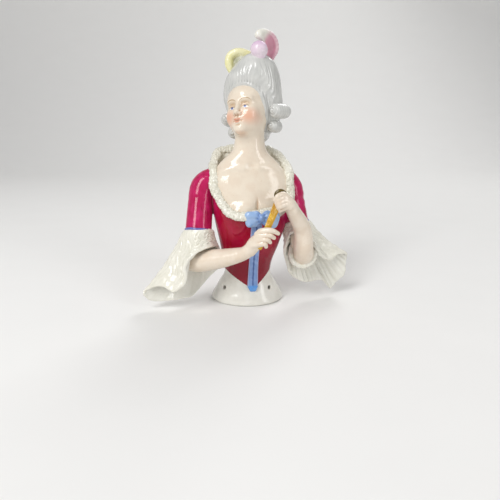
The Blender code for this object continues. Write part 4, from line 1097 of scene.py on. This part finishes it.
# Fan: a closed fan of five slim sticks in ochre gilding, its guards swelling to a round dark head above the
# upper hand, and a small pin across its foot. It is a rolled slip of clay laid through both hands.
STICKS = 5
STICK_SIDES = 12
STICK_ROWS = 46
fan_run = FAN_HEAD - FAN_FOOT
fan_length = np.linalg.norm(fan_run)
fan_run = fan_run / fan_length
fan_side = np.cross(fan_run, (0.0, -1.0, 0.0))
fan_side /= -np.linalg.norm(fan_side)
fan_face = np.cross(fan_side, fan_run)
fan_face *= -np.sign(fan_face[1])
fan_points, fan_faces, fan_shares = [], [], []
for stick in range(STICKS):
    place = 2 * stick / (STICKS - 1) - 1
    first_row = len(fan_points)
    for step in np.linspace(0.7, fan_length - 0.4, STICK_ROWS):
        share = np.clip(step / fan_length, 0, 1)
        half = 0.36 + 0.10 * share
        middle = FAN_FOOT + fan_run * step + fan_side * place * (0.74 + 0.62 * share)
        middle = middle + fan_face * (0.42 - 0.30 * abs(place) + 0.06 * (stick % 2))
        bead = 1.0 + 0.05 * np.sin(step * 2.6 + stick)
        for turn in np.arange(STICK_SIDES) * 2 * pi / STICK_SIDES:
            thick = (0.72 + 0.20 * share) * bead
            fan_points.append(middle + fan_side * half * np.sign(cos(turn)) * abs(cos(turn)) ** 0.6
                              + fan_face * thick * np.sign(sin(turn)) * abs(sin(turn)) ** 0.6)
            fan_shares.append(share)
    fan_faces += [tuple(first_row + n for n in face) for face in loft_faces(STICK_ROWS, STICK_SIDES)]
    fan_faces.append(tuple(range(first_row + STICK_SIDES - 1, first_row - 1, -1)))
    fan_faces.append(tuple(range(len(fan_points) - STICK_SIDES, len(fan_points))))
ochre = Glazed("fan_ochre", "#e3b83f", "#d09a22", "#80591a", smoothest=0.10, dullest=0.2, gather=0.03)
ochre.lay(ochre.eased(ochre.mark("share"), 0.62, 0.72), "#b8830f", 0.75)
# Painted highlights: pale yellow streaks along the sticks
ochre.lay(ochre.eased(ochre.clouds(0.7, 4.0, (1.0, 1.0, 0.3)), 0.50, 0.70), "#f0d679", 0.6)
piece("fan_sticks", fan_points, fan_faces, ochre.material, share=fan_shares)


def fan_head_gap(points):
    pivot = FAN_HEAD + (0.2, 1.0, 0.6)
    form = egg(points, pivot, (2.9, 1.0, 2.9))
    return form + pressed(points, pivot + (0.0, -1.0, 0.0), (1.1, 1.2, 1.1), 0.5)


def fan_foot_gap(points):
    pin = FAN_FOOT + fan_run * 1.5
    return meld(egg(points, pin, (1.45, 1.0, 1.0)), egg(points, pin - fan_face * 0.9, (0.6, 0.6, 0.6)), 0.3)


dark_gilt = Glazed("fan_head_gilding", "#54492a", "#6a5a2c", "#2c2414", smoothest=0.12, dullest=0.22)
dark_gilt.lay(dark_gilt.eased(dark_gilt.clouds(0.6), 0.55, 0.7), "#9a7c2c", 0.6)
piece("fan_head", *skin_over(fan_head_gap, FAN_HEAD - 5, FAN_HEAD + 6, 0.2), dark_gilt.material)
foot_points, foot_faces = skin_over(fan_foot_gap, FAN_FOOT - 3, FAN_FOOT + 3, 0.16)
piece("fan_foot", foot_points, foot_faces, ochre.material, share=np.zeros(len(foot_points)))


# Neckline: a crumbled lace ruche, made of shreds of clay pushed through a sieve, lies round the low neck,
# and a stiff lace collar stands behind the neck and carries it. Both are creamy white, with painted shade
# laid grey in the hollows between the crumbs.
RUCHE_HALF_WIDTH = 2.1
RUCHE_HALF_THICKNESS = 1.3
RUCHE_LIFT = 0.8
RUCHE_SIDES = 40
COLLAR_HALF_THICKNESS = 0.9
COLLAR_ROWS = 26


def crumbs(points, size, seed):
    """How far each point lies from the nearest of many scattered crumbs, in crumb sizes."""
    cell = np.floor(points / size).astype(np.int64)
    nearest = np.full(len(points), 9.0)
    for dx in (-1, 0, 1):
        for dy in (-1, 0, 1):
            for dz in (-1, 0, 1):
                near = cell + (dx, dy, dz)
                mixed = (near * (73856093, 19349663, 83492791)).sum(1) + seed * 7919
                turns = mixed[:, None] * (0.0137 + 0.0071 * np.arange(3))
                spot = np.modf(np.abs(np.sin(turns) * 43758.5453))[0]
                away = np.linalg.norm(points / size - near - 0.15 - 0.7 * spot, axis=1)
                nearest = np.minimum(nearest, away)
    return nearest


facing = np.array((0.0, -0.85, 0.5)) / np.hypot(0.85, 0.5)
ruche_fine = smooth_line(chest_middle + np.array(RUCHE_STEPS), 36, closed=True)


def clothed_gap(points):
    return np.minimum(dress_gap(points), torso_gap(points))


# Wherever the line would sink into the chest or the dress it is pushed out, then both are smoothed
for _ in range(3):
    under = clothed_gap(ruche_fine)
    slope = np.stack([(clothed_gap(ruche_fine + 0.3 * axis) - under) / 0.3 for axis in np.eye(3)], 1)
    slope /= np.linalg.norm(slope, axis=1)[:, None] + 1e-6
    push = np.clip(RUCHE_LIFT - under, 0.0, 1.2)
    for _ in range(40):
        push = 0.5 * push + 0.25 * (np.roll(push, 1) + np.roll(push, -1))
    ruche_fine = ruche_fine + slope * push[:, None]
    for _ in range(60):
        beside = np.roll(ruche_fine, 1, axis=0) + np.roll(ruche_fine, -1, axis=0)
        ruche_fine = 0.5 * ruche_fine + 0.25 * beside
ruche_runs = np.roll(ruche_fine, -1, axis=0) - np.roll(ruche_fine, 1, axis=0)
ruche_across = np.cross(ruche_runs, facing)
ruche_across /= np.linalg.norm(ruche_across, axis=1)[:, None]
ruche_up = np.cross(ruche_across, ruche_runs)
ruche_up /= np.linalg.norm(ruche_up, axis=1)[:, None]
ring = np.arange(RUCHE_SIDES) * 2 * pi / RUCHE_SIDES
ring_cos, ring_sin = np.cos(ring)[None, :, None], np.sin(ring)[None, :, None]
steps = np.arange(len(ruche_fine))
wavy = 1.0 + 0.05 * np.sin(steps * 0.21) + 0.06 * np.sin(steps * 0.083)
out_way = ruche_across[:, None] * ring_cos + ruche_up[:, None] * ring_sin
lace_body = (ruche_fine[:, None]
             + ruche_across[:, None] * (ring_cos * (RUCHE_HALF_WIDTH - 0.15) * wavy[:, None, None])
             + ruche_up[:, None] * ring_sin * (RUCHE_HALF_THICKNESS - 0.1)).reshape(-1, 3)
lumps = crumbs(lace_body, 0.95, 3)
small_lumps = crumbs(lace_body, 0.5, 11)
raised = 0.36 - 0.66 * np.clip(lumps, 0, 1) ** 1.5 + 0.28 - 0.48 * np.clip(small_lumps, 0, 1)
lace_body = lace_body + out_way.reshape(-1, 3) * raised[:, None]
ruche_faces = np.array(loft_faces(len(ruche_fine) + 1, RUCHE_SIDES)) % len(lace_body)
ruche_glaze = Glazed("ruche_glaze", "#ece9dd", "#e2dfd0", "#bdb89f", smoothest=0.10, dullest=0.22,
                     ripple=0.2, gather=0.12)
# Painted shade: grey laid in the hollows between the crumbs
ruche_glaze.lay(ruche_glaze.eased(ruche_glaze.mark("eyes"), 0.45, 0.85), "#bfbaa2", 0.6)
piece("ruche", lace_body, ruche_faces, ruche_glaze.material, eyes=np.clip(lumps, 0, 1))

# The collar's wall stands from its foot up to the ruche
foot_runs = np.roll(ruche_line, -1, axis=0) - np.roll(ruche_line, 1, axis=0)
wall_way = np.cross(foot_runs, ruche_line - collar_foot)
wall_way /= np.linalg.norm(wall_way, axis=1)[:, None]
levels = np.concatenate([np.linspace(0, 1, COLLAR_ROWS), np.linspace(1, 0, COLLAR_ROWS)])
sides = np.concatenate([np.ones(COLLAR_ROWS), -np.ones(COLLAR_ROWS)])
thinned = COLLAR_HALF_THICKNESS * np.sqrt(np.clip(1 - np.abs(2 * levels - 1) ** 6, 0.02, 1))
wall = (collar_foot[:, None] + (ruche_line - collar_foot)[:, None] * levels[None, :, None]
        + wall_way[:, None] * (sides * thinned)[None, :, None]).reshape(-1, 3)
# The hollows between the collar's crumbs take the same painted shade
wall_eyes = np.clip(crumbs(wall, 1.5, 5), 0, 1)
wall_out = (wall_way[:, None] * sides[None, :, None]).reshape(-1, 3)
wall = wall + wall_out * (0.16 - 0.36 * wall_eyes**1.5)[:, None]
wall_faces = np.array(loft_faces(len(ruche_line) + 1, 2 * COLLAR_ROWS)) % len(wall)
piece("collar", wall, wall_faces, ruche_glaze.material, eyes=wall_eyes * 0.9)


# Ribbon and bow: a flat blue ribbon runs from the bow between the breasts down to the point of the waist.
# Its edges stand up in two fine cords, a dark blue line is painted down its middle, and its tip is bright.
RIBBON_HALF_WIDTH = 2.65
RIBBON_FOOT = 7.2
RIBBON_ROWS = 120
RIBBON_COLUMNS = 34
BOW_HEIGHT = 44.5
ribbon_points, ribbon_across, ribbon_along = [], [], []
sideways = BODY_AXES @ np.array((1.0, 0.0, 0.0))
ahead = BODY_AXES @ np.array((0.0, -1.0, 0.0))
for i in range(RIBBON_ROWS + 1):
    share = i / RIBBON_ROWS
    height = BOW_HEIGHT + (RIBBON_FOOT - BOW_HEIGHT) * share
    tip = np.clip((share - 0.93) / 0.07, 0, 1)
    half = RIBBON_HALF_WIDTH * (1.0 - 0.55 * tip) * (1.0 - 0.12 * np.sin(share * pi) ** 2)
    middle = on_body(height, 2.5 + 9.0 * share**2)
    _, body_width, body_depth, *_ = smooth_rows(BODY_ROWS, [height])[0]
    end_roll = 0.5 * np.exp(-(((share - 0.965) / 0.03) ** 2))
    for j in range(RIBBON_COLUMNS + 1):
        across = 2 * j / RIBBON_COLUMNS - 1
        offset = across * half
        sag = body_depth * (1 - np.sqrt(max(1 - (offset / body_width) ** 2, 0.0)))
        cord = 0.34 * np.exp(-(((abs(across) - 0.84) / 0.10) ** 2)) - 0.20 * np.exp(-((across / 0.10) ** 2))
        lift = 0.85 + cord + 0.05 * np.sin(height * 2.4 + 3 * across) + end_roll * (1 - across * across)
        lift *= np.clip((1 - abs(across)) / 0.05, 0, 1) ** 0.5
        lift = lift * (1 - tip**6) - 0.35 * (abs(across) > 0.999)
        ribbon_points.append(middle + sideways * offset + ahead * (lift - sag))
        ribbon_across.append(abs(across))
        ribbon_along.append(share)
ribbon_blue = Glazed("ribbon_blue", "#88a5d6", "#7a98cd", "#4a669f", gather=0.03)
ribbon_blue.lay(ribbon_blue.eased(ribbon_blue.clouds(0.5, 4.0), 0.5, 0.75), "#a5bae2", 0.5)
across_mark, along_mark = ribbon_blue.mark("across"), ribbon_blue.mark("along")
ribbon_blue.lay(ribbon_blue.eased(across_mark, 0.15, 0.05), "#2c4a8c", 0.9)
ribbon_blue.lay(ribbon_blue.eased(across_mark, 0.70, 0.88), "#b9bade", 0.8)
ribbon_blue.lay(ribbon_blue.eased(along_mark, 0.905, 0.93), "#5b9be0", 0.95)
ribbon_faces = loft_faces(RIBBON_ROWS + 1, RIBBON_COLUMNS + 1, False)
piece("ribbon", ribbon_points, ribbon_faces, ribbon_blue.material, across=ribbon_across, along=ribbon_along)

bow_middle = np.array((6.7, -19.4, BOW_HEIGHT + 0.7))


def bow_gap(points):
    local = points - bow_middle
    form = egg(local, (0, -0.2, 0), (1.6, 1.8, 1.8))
    for side in (-1, 1):
        centre = np.array((side * 3.75, 0.6, -0.6))
        lean = np.array(Matrix.Rotation(radians(4 + side * 12), 3, "Y"))
        loop_place = (local - centre) @ lean
        out = loop_place[:, 0] * side
        # A loop of flat ribbon: square in its corners, narrower where the knot holds it
        wide = np.abs(loop_place[:, 0] / (3.95 + 0.15 * side))
        tall = np.abs(loop_place[:, 2] / (3.65 + 0.09 * out))
        square = (wide**3.4 + tall**3.4) ** (1 / 3.4)
        loop = (np.sqrt(square**2 + (loop_place[:, 1] / 2.2) ** 2) - 1) * 2.6
        # Gathers fan out from the knot, and the loop's mouth opens at its outer end
        fan_out = np.arctan2(loop_place[:, 2], out + 5.0)
        loop = loop + 0.13 * np.sin(fan_out * 12.0 + 0.6) * np.clip((3.5 - out) / 5.0, 0, 1)
        loop = loop + pressed(loop_place, (side * 1.3, -2.0, -0.4), (2.4, 1.2, 1.9), 0.9)
        form = meld(form, loop, 0.6)
    return form


bow_blue = Glazed("bow_blue", "#adc6e6", "#93b2dc", "#4c74b8", gather=0.03)
bow_blue.lay(bow_blue.eased(bow_blue.clouds(0.35, 3.0), 0.52, 0.7), "#6a9fe0", 0.6)
# Painted shade: the loops are laid a deeper blue towards the knot, where they fold
bow_x = bow_blue.node("SeparateXYZ")
bow_blue.feed(bow_x.inputs[0], bow_blue.place)
knot_x = bow_middle[0] + WAIST_AXIS[0]
from_knot = bow_blue.sums("ABSOLUTE", bow_blue.sums("SUBTRACT", bow_x.outputs[0], knot_x))
bow_blue.lay(bow_blue.eased(from_knot, 3.6, 1.0), "#5680c6", 0.55)
piece("bow", *skin_over(bow_gap, bow_middle - (11, 5, 7), bow_middle + (11, 5, 7), 0.22), bow_blue.material)
